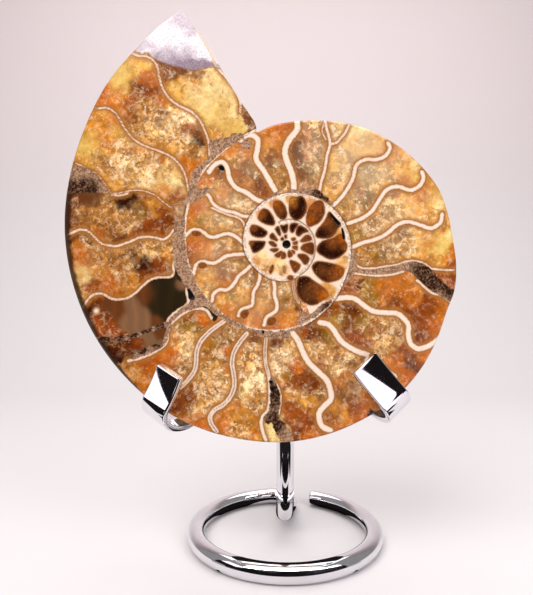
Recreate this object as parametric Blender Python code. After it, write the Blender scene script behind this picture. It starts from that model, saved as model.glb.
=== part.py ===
"""Polished ammonite half on its wire stand, in metres, +Z up.

The cut face looks along -Y. The ring of the stand lies on z = 0, and the
origin is the middle of the object's footprint.
"""

import math

import bmesh
import bpy
from mathutils import Vector

MM = 0.001

# Fossil: the outer wall of the shell as a spiral, heading in degrees against radius in mm.
# Headings run anticlockwise from +X as seen from the front, and the shell grows the other way.
FACE_Y = -31.0 * MM
SPIRAL_CENTRE = Vector((-0.5 * MM, FACE_Y, 100.0 * MM))
APERTURE_HEADING = 113.0
VENTER = (
    (113, 75.9), (120, 74.6), (128, 72.8), (136, 71.6), (148, 69.2), (160, 67.4),
    (174, 65.9), (189, 64.3), (203, 63.0), (219, 61.7), (235, 60.8), (256, 59.2),
    (272, 58.3), (290, 56.8), (308, 55.3), (318, 54.1), (328, 52.6), (337, 51.4),
    (345, 51.5), (353, 50.6), (361, 49.4), (372, 48.5), (380, 47.9), (393, 45.6),
    (405, 43.4), (419, 40.9), (431, 38.6), (446, 36.5), (461, 35.1), (473, 34.0),
    (490, 33.0), (505, 32.3), (517, 31.2), (536, 30.1), (568, 28.9), (603, 27.2),
    (639, 24.4), (661, 22.2), (689, 19.7), (711, 18.9), (744, 17.6), (786, 15.5),
    (833, 13.9),
)
# The lip of the aperture isn't quite radial: radius in mm against heading.
LIP_CURVE = ((16.0, 113.0), (35.5, 104.5), (40.4, 106.0), (43.8, 107.5), (51.4, 109.7),
             (64.7, 111.8), (77.0, 114.5))
LIP_BEND_SPAN = 26.0
COLUMNS_PER_TURN = 144
TURN = 360.0

# Section of the coil behind the cut: half its width, and its profile from the navel outwards.
HALF_WIDTH = 0.26
UMBILICUS = 0.22
FLANK_TOP = 0.3
SECTION_ROWS = (0.0, 0.035, 0.12, None, 0.46, 0.62, 0.76, 0.87, 0.95)
LOWEST_EMBRACE = 0.22
EDGE_CHAMFER = 0.7 * MM
RIBS_PER_TURN = 36
RIB_DEPTH = 0.035
NAVEL_POINT = (1.0, 203.0)
NAVEL_DEPTH = 0.35

# Stand: one bent rod, an open ring on the floor with a run inwards and an upright.
ROD_RADIUS = 3.0 * MM
ROD_SIDES = 16
RING_RADIUS = 31.0 * MM
RING_START = 22.0
BEND_RADIUS = 7.0 * MM
BEND_START = -10.0
RUN_RISE = 5.3 * MM
ELBOW_RADIUS = 8.0 * MM
ELBOW_Y = -5.6 * MM
STEM_TOP = Vector((0.0, -9.4 * MM, 92.0 * MM))

# Stand: one bent strip, two legs behind the fossil that end in hooks round its edge.
STRIP_WIDTH = 9.4 * MM
STRIP_THICKNESS = 2.0 * MM
APEX = Vector((0.0, -13.7 * MM, 87.0 * MM))
LEG_STEPS = 6
HOOK_STEPS = 16
LIP_STEPS = 5
# Each hook: where its lip starts, the way it points down, how far it is turned about that way
# and to which side, its opening from front to back, its drop, and its lip's length and flare.
LEFT_HOOK = {
    "front": Vector((-37.9, -34.43, 54.2)) * MM, "heading": 241.0, "turn": 26.0, "side": 1,
    "opening": 22.4 * MM, "drop": 6.3 * MM, "lip": 10.0 * MM, "flare": 1.8 * MM,
}
RIGHT_HOOK = {
    "front": Vector((30.2, -33.2, 55.3)) * MM, "heading": 311.5, "turn": 12.0, "side": -1,
    "opening": 19.6 * MM, "drop": 5.9 * MM, "lip": 13.6 * MM, "flare": 1.8 * MM,
}


def smooth_curve(points, value):
    """Value of a smooth line through (x, y) points, by cubic pieces."""
    last = len(points) - 2
    index = next((i for i in range(last + 1) if value <= points[i + 1][0]), last)
    (x0, y0), (x1, y1) = points[index], points[index + 1]

    def slope(at):
        low, high = points[max(at - 1, 0)], points[min(at + 1, last + 1)]
        return (high[1] - low[1]) / (high[0] - low[0])

    span = x1 - x0
    t = min(max((value - x0) / span, 0.0), 1.0)
    return (
        (2 * t**3 - 3 * t**2 + 1) * y0
        + (t**3 - 2 * t**2 + t) * span * slope(index)
        + (3 * t**2 - 2 * t**3) * y1
        + (t**3 - t**2) * span * slope(index + 1)
    )


def venter_radius(heading):
    return smooth_curve(VENTER, heading) * MM


def umbilical_radius(heading):
    return UMBILICUS * venter_radius(heading)


def embrace_row(heading):
    """Share of the section at which the next turn of the shell covers this one."""
    low, high = umbilical_radius(heading), venter_radius(heading)
    return max((umbilical_radius(heading - TURN) - low) / (high - low), LOWEST_EMBRACE)


def flank(share):
    """Height of the shell over the cut, as a share of its largest, from navel to outer edge."""
    if share < FLANK_TOP:
        return 0.45 + 0.55 * math.sin(0.5 * math.pi * share / FLANK_TOP) ** 0.6
    return (1 - ((share - FLANK_TOP) / (1 - FLANK_TOP)) ** 2.2) ** 0.55


def rib(heading, share):
    """Low ribs that fade towards the navel, 1 on a crest."""
    wave = 0.5 + 0.5 * math.cos(math.radians(heading) * RIBS_PER_TURN)
    return 1 - RIB_DEPTH * min(max((share - 0.2) / 0.4, 0.0), 1.0) * (1 - wave)


def lip_bend(heading, radius):
    """How far the growth lines lean from radial, which dies away back from the aperture."""
    lean = smooth_curve(LIP_CURVE, max(radius / MM, LIP_CURVE[0][0])) - APERTURE_HEADING
    away = min(abs(heading - APERTURE_HEADING), abs(heading - APERTURE_HEADING - TURN))
    return lean * max(1 - away / LIP_BEND_SPAN, 0.0) ** 2


def shell_point(heading, radius, height):
    angle = math.radians(heading + lip_bend(heading, radius))
    across = Vector((math.cos(angle), 0, math.sin(angle))) * radius
    return SPIRAL_CENTRE + across + Vector((0, height, 0))


def section_point(heading, share):
    low, high = umbilical_radius(heading), venter_radius(heading)
    height = HALF_WIDTH * high * flank(share) * rib(heading, share)
    return shell_point(heading, low + share * (high - low), height)


def zip_faces(mesh, upper, lower, key):
    """Triangles between two lines of vertices that run the same way, in order of their key."""
    i = j = 0
    while i < len(upper) - 1 or j < len(lower) - 1:
        step_upper = j == len(lower) - 1 or (
            i < len(upper) - 1 and key(upper[i + 1]) <= key(lower[j + 1])
        )
        corner = upper[i + 1] if step_upper else lower[j + 1]
        face = (upper[i], corner, lower[j])
        if len(set(face)) == 3:
            mesh.faces.new(face)
        i, j = (i + 1, j) if step_upper else (i, j + 1)


def ammonite_mesh():
    mesh = bmesh.new()
    embrace = SECTION_ROWS.index(None)
    step = TURN / COLUMNS_PER_TURN
    headings = [APERTURE_HEADING + step * i for i in range(2 * COLUMNS_PER_TURN + 1)]
    columns = []
    for number, heading in enumerate(headings):
        inner_turn = number > COLUMNS_PER_TURN
        shares = SECTION_ROWS[: embrace + 1] if inner_turn else SECTION_ROWS
        columns.append([
            mesh.verts.new(section_point(heading, embrace_row(heading) if share is None else share))
            if not (share is None and number >= COLUMNS_PER_TURN)
            else None
            for share in shares
        ])
    # The row that the next turn covers is the inner edge of that turn.
    for number in range(COLUMNS_PER_TURN, len(columns)):
        columns[number][embrace] = columns[number - COLUMNS_PER_TURN][0]
        covered = section_point(headings[number], embrace_row(headings[number]))
        columns[number][embrace].co = covered
    # The outer edge: a narrow chamfer round the polished face.
    rim, face_edge = [], []
    for heading in headings[: COLUMNS_PER_TURN + 1]:
        radius = venter_radius(heading)
        rim.append(mesh.verts.new(shell_point(heading, radius, EDGE_CHAMFER)))
        face_edge.append(mesh.verts.new(shell_point(heading, radius - EDGE_CHAMFER, 0)))
    for number in range(COLUMNS_PER_TURN + 1):
        columns[number] += [rim[number], face_edge[number]]
    for left, right in zip(columns, columns[1:]):
        for row in range(min(len(left), len(right)) - 1):
            mesh.faces.new((left[row], right[row], right[row + 1], left[row + 1]))

    # The wall across the aperture, from the navel to the tip of the shell.
    upper = columns[0][:-1]
    inner = columns[COLUMNS_PER_TURN][embrace:]
    tip = face_edge[0]
    notch_radius, tip_radius = (venter_radius(h) for h in (APERTURE_HEADING + TURN, APERTURE_HEADING))
    lip = [
        mesh.verts.new(shell_point(APERTURE_HEADING, radius * MM, 0))
        for radius, _ in LIP_CURVE
        if notch_radius + MM < radius * MM < tip_radius - MM
    ]

    def radius_of(vertex):
        return (vertex.co.xz - SPIRAL_CENTRE.xz).length

    zip_faces(mesh, upper, inner + lip + [tip], radius_of)
    mesh.faces.new([*reversed(face_edge), *reversed(lip)])

    # The bottom of the navel.
    spread, heading = NAVEL_POINT
    floor = NAVEL_DEPTH * HALF_WIDTH * venter_radius(headings[-1])
    centre = mesh.verts.new(shell_point(heading, spread * MM, floor))
    loop = [column[0] for column in columns[COLUMNS_PER_TURN:]] + columns[-1][1 : embrace + 1]
    for near, far in zip(loop, loop[1:]):
        mesh.faces.new((centre, near, far))
    bmesh.ops.recalc_face_normals(mesh, faces=mesh.faces)
    return mesh


def sweep(stations):
    """Solid swept through stations, each a list of corners in the same order, with flat ends."""
    mesh = bmesh.new()
    rings = [[mesh.verts.new(corner) for corner in station] for station in stations]
    count = len(rings[0])
    for near, far in zip(rings, rings[1:]):
        for i in range(count):
            j = (i + 1) % count
            mesh.faces.new((near[i], near[j], far[j], far[i]))
    mesh.faces.new(rings[0])
    mesh.faces.new(rings[-1])
    bmesh.ops.recalc_face_normals(mesh, faces=mesh.faces)
    return mesh


def arc(centre, radius, start, end, steps, height):
    """Points on a flat arc, with angles in degrees from +Y towards +X."""
    angles = [math.radians(start + (end - start) * i / steps) for i in range(steps + 1)]
    return [centre + Vector((radius * math.sin(a), radius * math.cos(a), height)) for a in angles]


def rod_path():
    """Ring, bend, run inwards, elbow and upright, as one line of points."""
    ring = arc(Vector(), RING_RADIUS, RING_START, TURN + BEND_START, 62, ROD_RADIUS)
    inset = math.radians(BEND_START)
    bend_centre = Vector((math.sin(inset), math.cos(inset), 0)) * (RING_RADIUS - BEND_RADIUS)
    bend = arc(bend_centre, BEND_RADIUS, BEND_START, 90.0, 10, ROD_RADIUS)

    lean = math.atan2(ELBOW_Y - STEM_TOP.y, STEM_TOP.z)
    elbow_low = Vector((0, ELBOW_Y + ELBOW_RADIUS, ROD_RADIUS + RUN_RISE))
    start = bend[-1]
    run = []
    for i in range(1, 7):
        t = i / 6
        ease = t * t * (3 - 2 * t)
        point = start.lerp(elbow_low, t)
        run.append(Vector((point.x, point.y, start.z + (elbow_low.z - start.z) * ease)))
    elbow = []
    for i in range(1, 9):
        angle = (0.5 * math.pi - lean) * i / 8
        elbow.append(elbow_low + ELBOW_RADIUS * Vector((0, -math.sin(angle), 1 - math.cos(angle))))
    stem = [elbow[-1].lerp(STEM_TOP, i / 4) for i in range(1, 5)]
    return ring + bend[1:] + run + elbow + stem


def rod_mesh():
    """Many-sided rod along its path, turned so that one flat of it lies on the floor."""
    path = rod_path()
    up = Vector((0, 0, 1))
    corner_radius = ROD_RADIUS / math.cos(math.pi / ROD_SIDES)
    stations = []
    for number, point in enumerate(path):
        before, after = path[max(number - 1, 0)], path[min(number + 1, len(path) - 1)]
        along = (after - before).normalized()
        up = (up - along * up.dot(along)).normalized()
        side = along.cross(up)
        angles = [2 * math.pi * (i + 0.5) / ROD_SIDES for i in range(ROD_SIDES)]
        stations.append([
            point + corner_radius * (up * math.cos(a) + side * math.sin(a)) for a in angles
        ])
    return sweep(stations)


def hook_axes(hook):
    """Down along the hook, across its strip, and from its front to its back."""
    heading, turn = math.radians(hook["heading"]), math.radians(hook["turn"])
    down = Vector((math.cos(heading), 0, math.sin(heading)))
    level = Vector((-math.sin(heading), 0, math.cos(heading))) * hook["side"]
    back = Vector((0, 1, 0))
    across = level * math.cos(turn) - back * math.sin(turn)
    return down, across, back * math.cos(turn) + level * math.sin(turn)


def leg_end(hook):
    return hook["front"] + hook_axes(hook)[2] * hook["opening"]


def leg_heading(hook):
    run = leg_end(hook) - APEX
    return math.degrees(math.atan2(run.z, run.x)) % TURN


def strip_line(hook):
    """(centre, direction across the strip) down one leg, round the hook and up its lip."""
    down, across, back = hook_axes(hook)
    end, heading = leg_end(hook), math.radians(leg_heading(hook))
    level = Vector((-math.sin(heading), 0, math.cos(heading))) * hook["side"]
    line = []
    for i in range(2, LEG_STEPS):
        share = i / LEG_STEPS
        late = max(share - 0.5, 0.0) / 0.5
        ease = late * late * (3 - 2 * late)
        centre = APEX.lerp(end, share)
        centre.y = APEX.y + (end.y - APEX.y) * ease
        line.append((centre, level.lerp(across, ease)))
    for i in range(HOOK_STEPS + 1):
        angle = math.pi * i / HOOK_STEPS
        depth = 0.5 * hook["opening"] * (1 + math.cos(angle))
        line.append((hook["front"] + back * depth + down * (hook["drop"] * math.sin(angle)), across))
    for i in range(1, LIP_STEPS + 1):
        share = i / LIP_STEPS
        lip = down * (hook["lip"] * share) + back * (hook["flare"] * share**2)
        line.append((hook["front"] - lip, across))
    return line


def strip_stations(hook):
    """Corners of the strip along one leg, from the apex out to the end of its lip."""
    line = strip_line(hook)
    stations = []
    for number, (centre, across) in enumerate(line):
        before, after = line[max(number - 1, 0)][0], line[min(number + 1, len(line) - 1)][0]
        along = (after - before).normalized()
        across = (across - along * across.dot(along)).normalized()
        half_w = across * (0.5 * STRIP_WIDTH)
        half_t = along.cross(across) * (0.5 * STRIP_THICKNESS)
        stations.append([
            centre - half_w - half_t, centre + half_w - half_t,
            centre + half_w + half_t, centre - half_w + half_t,
        ])
    return stations


def cradle_mesh():
    """Both legs in one strip, mitred where they meet at the top."""
    left = strip_stations(LEFT_HOOK)
    right = strip_stations(RIGHT_HOOK)
    left_heading, right_heading = leg_heading(LEFT_HOOK), leg_heading(RIGHT_HOOK)
    half_turn = math.radians(0.5 * (TURN - right_heading - (180 - left_heading)))
    tilt = math.radians(0.5 * (left_heading + right_heading - 540))
    mitre = 0.5 * STRIP_WIDTH / math.cos(half_turn)
    up = Vector((math.sin(-tilt), 0, math.cos(tilt)))
    back = Vector((0, 0.5 * STRIP_THICKNESS, 0))
    corner = [APEX - up * mitre - back, APEX + up * mitre - back,
              APEX + up * mitre + back, APEX - up * mitre + back]

    def matched(station):
        """The station's corners in the order low front, high front, high back, low back."""
        high = sorted(station, key=lambda c: c.z)[2:]
        low = sorted(station, key=lambda c: c.z)[:2]
        front_first = sorted(low, key=lambda c: c.y), sorted(high, key=lambda c: c.y)
        return [front_first[0][0], front_first[1][0], front_first[1][1], front_first[0][1]]

    def ordered(stations):
        first = matched(stations[0])
        order = [stations[0].index(c) for c in first]
        return [[station[i] for i in order] for station in stations]

    return sweep([*reversed(ordered(left)), corner, *ordered(right)])


def finish_material(name, colour, roughness, metallic):
    material = bpy.data.materials.new(name)
    material.use_nodes = True
    shader = material.node_tree.nodes["Principled BSDF"]
    shader.inputs["Base Color"].default_value = (*colour, 1)
    shader.inputs["Roughness"].default_value = roughness
    shader.inputs["Metallic"].default_value = metallic
    material.diffuse_color = (*colour, 1)
    return material


def add_piece(name, mesh, material, parent, sharp_angle):
    data = bpy.data.meshes.new(name)
    mesh.to_mesh(data)
    mesh.free()
    data.materials.append(material)
    data.shade_smooth()
    data.set_sharp_from_angle(angle=math.radians(sharp_angle))
    piece = bpy.data.objects.new(name, data)
    piece.parent = parent
    bpy.context.scene.collection.objects.link(piece)
    return piece


def centre_footprint(origin, pieces):
    """Moves the parent so that the middle of the footprint is the world's origin."""
    corners = [vertex.co for piece in pieces for vertex in piece.data.vertices]
    low = Vector(min(c[axis] for c in corners) for axis in range(3))
    high = Vector(max(c[axis] for c in corners) for axis in range(3))
    origin.location = (-0.5 * (low.x + high.x), -0.5 * (low.y + high.y), -low.z)


def main():
    for item in list(bpy.data.objects):
        bpy.data.objects.remove(item)
    origin = bpy.data.objects.new("origin", None)
    bpy.context.scene.collection.objects.link(origin)
    calcite = finish_material("polished_calcite", (0.62, 0.36, 0.14), 0.18, 0.0)
    chrome = finish_material("bright_chrome", (0.78, 0.77, 0.79), 0.06, 1.0)
    pieces = [
        add_piece("ammonite_half", ammonite_mesh(), calcite, origin, 35),
        add_piece("stand_rod", rod_mesh(), chrome, origin, 40),
        add_piece("stand_cradle", cradle_mesh(), chrome, origin, 30),
    ]
    centre_footprint(origin, pieces)


main()
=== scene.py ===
"""Looks of the polished ammonite half and its stand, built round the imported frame."""

import math

import bmesh
import bpy
import numpy as np
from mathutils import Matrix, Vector, noise


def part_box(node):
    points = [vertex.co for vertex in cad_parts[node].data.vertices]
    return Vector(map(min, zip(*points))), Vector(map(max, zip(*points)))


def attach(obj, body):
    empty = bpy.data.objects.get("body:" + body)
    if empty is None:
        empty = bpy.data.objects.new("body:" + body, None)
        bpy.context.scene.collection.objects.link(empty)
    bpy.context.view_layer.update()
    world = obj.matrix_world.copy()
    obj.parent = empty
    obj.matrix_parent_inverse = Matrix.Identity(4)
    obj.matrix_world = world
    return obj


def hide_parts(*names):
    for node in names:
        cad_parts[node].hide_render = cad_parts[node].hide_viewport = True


MM = 0.001
TURN = 360.0

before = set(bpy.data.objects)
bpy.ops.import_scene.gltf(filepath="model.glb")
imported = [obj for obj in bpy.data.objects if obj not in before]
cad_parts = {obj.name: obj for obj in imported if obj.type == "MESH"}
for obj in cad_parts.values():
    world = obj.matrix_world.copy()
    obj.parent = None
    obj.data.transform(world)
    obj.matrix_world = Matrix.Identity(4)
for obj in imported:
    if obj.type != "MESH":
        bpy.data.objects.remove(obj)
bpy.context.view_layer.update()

# Places in the design's own millimetres: x = y = 0 is the middle of the ring, z = 0 the floor.
ROD_RADIUS = 3.0
RING_RADIUS = 31.0
rod_low, rod_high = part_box("stand_rod")
fossil_low, fossil_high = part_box("ammonite_half")
ORIGIN = Vector(((rod_low.x + rod_high.x) / 2, rod_low.y + (RING_RADIUS + ROD_RADIUS) * MM, 0))
FACE_Y = (fossil_low.y - ORIGIN.y) / MM
CENTRE_X, CENTRE_Z = -0.5, 100.0

# The photograph's camera, level, and how its pixels fall on the cut face.
PHOTO_SIZE = (533, 595)
PHOTO_MIDDLE = (266.5, 297.5)
FOCAL_PIXELS = 530.0
CAMERA = Vector((-6.36, -187.0, 84.3))
PIXEL_MM = (FACE_Y - CAMERA.y) / FOCAL_PIXELS

# The shell, as in the solid: heading in degrees against the radius of the outer wall in mm.
APERTURE_HEADING = 113.0
VENTER = np.array((
    (113, 75.9), (120, 74.6), (128, 72.8), (136, 71.6), (148, 69.2), (160, 67.4),
    (174, 65.9), (189, 64.3), (203, 63.0), (219, 61.7), (235, 60.8), (256, 59.2),
    (272, 58.3), (290, 56.8), (308, 55.3), (318, 54.1), (328, 52.6), (337, 51.4),
    (345, 51.5), (353, 50.6), (361, 49.4), (372, 48.5), (380, 47.9), (393, 45.6),
    (405, 43.4), (419, 40.9), (431, 38.6), (446, 36.5), (461, 35.1), (473, 34.0),
    (490, 33.0), (505, 32.3), (517, 31.2), (536, 30.1), (568, 28.9), (603, 27.2),
    (639, 24.4), (661, 22.2), (689, 19.7), (711, 18.9), (744, 17.6), (786, 15.5),
    (833, 13.9), (873, 12.8), (913, 12.0), (942, 11.1), (991, 10.4), (1016, 9.3),
    (1067, 8.1), (1113, 7.5), (1161, 6.8), (1193, 6.2),
), float)
LIP_CURVE = np.array((
    (16.0, 113.0), (35.5, 104.5), (40.4, 106.0), (43.8, 107.5), (51.4, 109.7),
    (64.7, 111.8), (77.0, 114.5),
))
LIP_BEND_SPAN = 26.0
HALF_WIDTH = 0.26
UMBILICUS = 0.22
FLANK_TOP = 0.3
EDGE_CHAMFER = 0.7
RIBS_PER_TURN = 36
RIB_DEPTH = 0.035
NAVEL_POINT = (1.0, 203.0)
NAVEL_DEPTH = 0.35


def smooth_curve(points, values):
    """Smooth line through (x, y) points at many values, by cubic pieces."""
    x, y = points[:, 0], points[:, 1]
    slope = np.empty(len(x))
    slope[1:-1] = (y[2:] - y[:-2]) / (x[2:] - x[:-2])
    slope[0] = (y[1] - y[0]) / (x[1] - x[0])
    slope[-1] = (y[-1] - y[-2]) / (x[-1] - x[-2])
    values = np.asarray(values, float)
    i = np.clip(np.searchsorted(x, values) - 1, 0, len(x) - 2)
    span = x[i + 1] - x[i]
    t = np.clip((values - x[i]) / span, 0, 1)
    return (
        (2 * t**3 - 3 * t**2 + 1) * y[i]
        + (t**3 - 2 * t**2 + t) * span * slope[i]
        + (3 * t**2 - 2 * t**3) * y[i + 1]
        + (t**3 - t**2) * span * slope[i + 1]
    )


def venter(heading):
    return smooth_curve(VENTER, heading)


def lip_bend(heading, radius):
    lean = smooth_curve(LIP_CURVE, np.maximum(radius, LIP_CURVE[0, 0])) - APERTURE_HEADING
    away = np.minimum(abs(heading - APERTURE_HEADING), abs(heading - APERTURE_HEADING - TURN))
    return lean * np.maximum(1 - away / LIP_BEND_SPAN, 0) ** 2


def shell_points(heading, radius, height):
    """Design points in mm for headings, radii and heights over the cut face."""
    heading, radius, height = np.broadcast_arrays(heading, radius, height)
    angle = np.radians(heading + lip_bend(heading, radius))
    return np.stack([
        CENTRE_X + radius * np.cos(angle), FACE_Y + height, CENTRE_Z + radius * np.sin(angle)
    ], axis=-1)


def to_pixels(points):
    """Where design points on the face fall in the photograph."""
    return np.stack([
        PHOTO_MIDDLE[0] + (points[..., 0] - CAMERA.x) / PIXEL_MM,
        PHOTO_MIDDLE[1] - (points[..., 2] - CAMERA.z) / PIXEL_MM,
    ], axis=-1)


def to_row(points):
    """Design millimetres to the frame's metres."""
    return np.asarray(points, float) * MM + np.array(ORIGIN)


# Walls between the chambers, as points of the photograph: half width in pixels, then the line.
SEPTA = {
    "tip": (-9.0, ((131, 48), (140, 52.5), (148, 53), (155, 58), (161.7, 62), (171, 65.3),
                   (184.6, 68.7), (195.4, 70.7), (206, 68), (214, 67.3), (220, 69))),
    "a": (1.2, ((131, 52), (137.5, 55.5), (147, 56.3), (153.7, 60.6), (157.7, 67.3), (159.3, 78),
                (163, 88.8), (169.8, 99), (179.2, 105.7), (191.3, 111.7), (199.4, 119.8),
                (204.8, 130.6), (208.8, 142.7), (209.5, 154.8))),
    "b": (1.0, ((94.2, 106.3), (98.5, 108.4), (106.5, 107.7), (114.6, 112.4), (120, 119.8),
                (125.4, 129.2), (134.8, 140), (147, 146.7), (160.4, 151.4), (171.2, 156.8),
                (179.2, 164.2), (184.6, 173.7), (187.3, 184.4), (188, 191))),
    "c": (0.7, ((76, 163), (86.3, 168.3), (95.8, 173), (101.2, 179), (108, 188.5), (112, 193.5),
                (122.7, 192.2), (130.8, 190.5), (144.2, 190.9), (155, 195.2), (161.7, 200.6),
                (170, 207))),
    "d": (1.2, ((67, 235.5), (74.2, 231.7), (81.6, 229.3), (89, 231.7), (94.4, 237), (101.2, 243.2),
                (109.2, 245.5), (117.3, 246), (124, 243.8), (133.5, 240.2), (138.8, 237.8),
                (147, 236.8), (156.3, 237.8), (163, 239.5), (168.5, 236.4), (173.5, 230))),
    "e": (1.2, ((82, 308.5), (86.3, 301.7), (91.7, 295.7), (98.5, 293.4), (105.2, 295),
                (112, 298.8), (120, 299.3), (128, 297.7), (136.2, 292.3), (143, 285.6),
                (149.6, 280.2), (157.7, 277.5), (165.8, 277.2), (171.8, 276.2), (173.8, 272),
                (173.2, 265.4), (174.5, 259.3))),
    "f": (1.5, ((128, 361), (141, 357.8), (152.3, 353), (162.2, 347.2), (167, 341), (167.8, 331),
                (172, 322.6), (183.3, 313.4), (194.6, 308.5), (206, 310), (211.5, 318.3))),
    "g": (2.4, ((180.5, 387.4), (187.6, 380.4), (193.9, 372), (196, 363.5), (196.7, 352.2),
                (200.3, 342.3), (207.3, 333.8), (215.8, 326.8), (224.2, 321.2))),
    "h": (2.4, ((216.5, 431.5), (211.5, 424), (210, 417), (214.4, 410), (222.8, 405), (230, 397.3),
                (234, 387.4), (234, 376.2), (232, 363.5), (234, 352.2), (239.7, 342.3),
                (246.8, 333.8))),
    "i": (1.8, ((266, 441), (261.6, 427), (262.3, 417), (268, 410), (270, 395), (268.7, 376.2),
                (265.8, 363.5), (265, 352), (265.8, 341), (266, 333))),
    "j": (3.0, ((330.4, 430.3), (322.5, 426.6), (319.3, 419.3), (319.5, 412), (324.4, 406),
                (331, 398.6), (330.4, 390), (326.8, 380.3), (318, 371.5), (308, 361.5),
                (302, 350), (297.6, 339.5), (291.9, 332.4))),
    "k": (2.8, ((395, 377), (383, 368), (369.4, 356), (359.7, 352.3), (348.7, 346.8), (340.2, 340),
                (334, 330.4), (328, 324.3), (320, 322.5))),
    "l": (2.7, ((441, 337), (434, 342.6), (426.7, 346.8), (418, 348.7), (410.8, 343.8),
                (408.4, 335.3), (408.4, 325.5), (403.5, 318.2), (396.2, 313.3), (385.3, 312.7),
                (373, 311), (363.3, 304.8), (354.8, 298.7), (346.3, 297.5), (335.3, 298.7))),
    "m": (1.1, ((454, 270), (446.2, 270), (431.5, 268.3), (424.2, 263.4), (415.7, 261),
                (406, 261.6), (397.4, 264.6), (385.3, 266.4), (373, 268.3), (361, 267.7),
                (354, 262), (351, 252))),
    "o": (2.1, ((442, 214.3), (440.3, 222.7), (431, 228.3), (421.7, 225.5), (408.7, 221.8),
                (397.5, 224.6), (386.4, 234), (375.2, 239.4), (362.2, 243), (351, 247.8))),
    "p": (2.1, ((422, 172), (423.5, 178), (419.8, 185.5), (410.5, 190.2), (397.5, 186.4),
                (386.4, 190.2), (379, 200.4), (371.5, 211.5), (360.3, 219), (347.3, 223.6))),
    "q": (2.0, ((388, 143), (390, 148.3), (385.4, 155.8), (377, 159.5), (366, 159.5), (356.6, 165),
                (353, 178), (347.3, 189.2), (338, 201.3), (332, 206))),
    "r": (1.5, ((325, 120), (327, 130), (330, 143), (327, 155.8), (325, 168.8), (321.3, 181.8),
                (319.4, 191))),
    "s": (3.1, ((297, 119), (297, 129.7), (289.7, 139), (285, 150.2), (287, 161.3),
                (291.5, 172.5), (293.5, 182), (294, 191))),
    "t": (2.8, ((241, 140), (246, 135.5), (252.5, 135.3), (258, 140), (257.2, 150.2),
                (256.2, 159.5), (263.7, 170.6), (269.2, 180), (275, 190))),
    "u": (2.5, ((209, 172), (212.5, 167), (217.2, 163.2), (223, 162.3), (227.5, 168.8),
                (229.3, 178), (235.8, 187.4), (247, 193), (256.2, 199.5), (263.7, 202.2))),
    "v": (1.8, ((200.4, 193), (208, 194.8), (213.5, 204), (222.8, 209.7), (234, 212.5),
                (243.2, 216), (250, 216.5))),
    "w": (1.9, ((184.6, 236.5), (191.3, 230.4), (198, 229.7), (203.5, 232.4), (208.8, 236.4),
                (215.6, 237), (225, 233.8), (233, 235), (239.8, 239.8), (244.5, 244.5))),
    "x": (1.9, ((193.5, 274), (194.7, 268.8), (196.5, 264.4), (202, 261.5), (211.5, 263.2),
                (218.3, 261.3), (225, 256.6), (234.4, 254.6), (246, 254))),
    "y": (1.9, ((212.2, 301), (213.6, 293.7), (219.6, 289.6), (227.7, 289.6), (234.4, 283),
                (238.5, 276.2), (245.2, 270.8), (252, 264.5))),
    "z": (1.8, ((238.5, 316), (241, 309.8), (247, 307.5), (252.2, 305), (253, 297.7),
                (254, 291.4), (257.5, 285), (259.8, 278), (259.8, 271))),
    "aa": (2.0, ((264, 325), (266.5, 317.4), (272, 313.8), (276.4, 309.4), (276.8, 302.2),
                 (274.6, 296), (274.6, 287), (273.7, 280))),
    "bb": (1.3, ((299, 303), (295.2, 296), (293.4, 287.8), (293, 280))),
}
# Extra cream lines: second walls of split septa, the edges of the cracks, and a painted highlight along
# the bevelled edge at the aperture.
THREADS = (
    (1.1, ((211.6, 207.8), (226.5, 214.3), (237.6, 217.5), (243, 222), (245, 228))),
    (1.2, ((351.2, 273), (375.5, 275.6), (392.6, 274.4), (403.5, 271.3))),
    (1.3, ((417, 280.4), (424.2, 286.5), (431.5, 292.6), (442.5, 296), (452, 303))),
    (1.2, ((273.6, 379), (279.2, 390.3), (280.6, 401.5), (277.8, 417))),
    (1.6, ((186.6, 289), (187.3, 293.7), (188.5, 299), (187.3, 304.4), (179.2, 309.8),
           (173.8, 313.8), (169, 319.2), (167, 324))),
    (1.3, ((349, 125), (345, 133), (340, 139), (336, 143), (331, 144))),
    (0.8, ((324, 123), (322, 131), (326, 140))),
    (1.0, ((112, 195), (120, 195.5), (128, 193.5))),
    # Painted highlight along the bevelled edge at the aperture.
    (1.3, ((197, 30), (205, 43), (212, 56), (217, 67), (228, 79.5), (237, 92), (240.5, 104),
           (240, 112))),
)
# Brown seam along the middle of the walls that split.
SEAMS = (SEPTA["tip"][1][4:], SEPTA["g"][1], SEPTA["h"][1], SEPTA["i"][1][5:], SEPTA["bb"][1])

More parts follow.
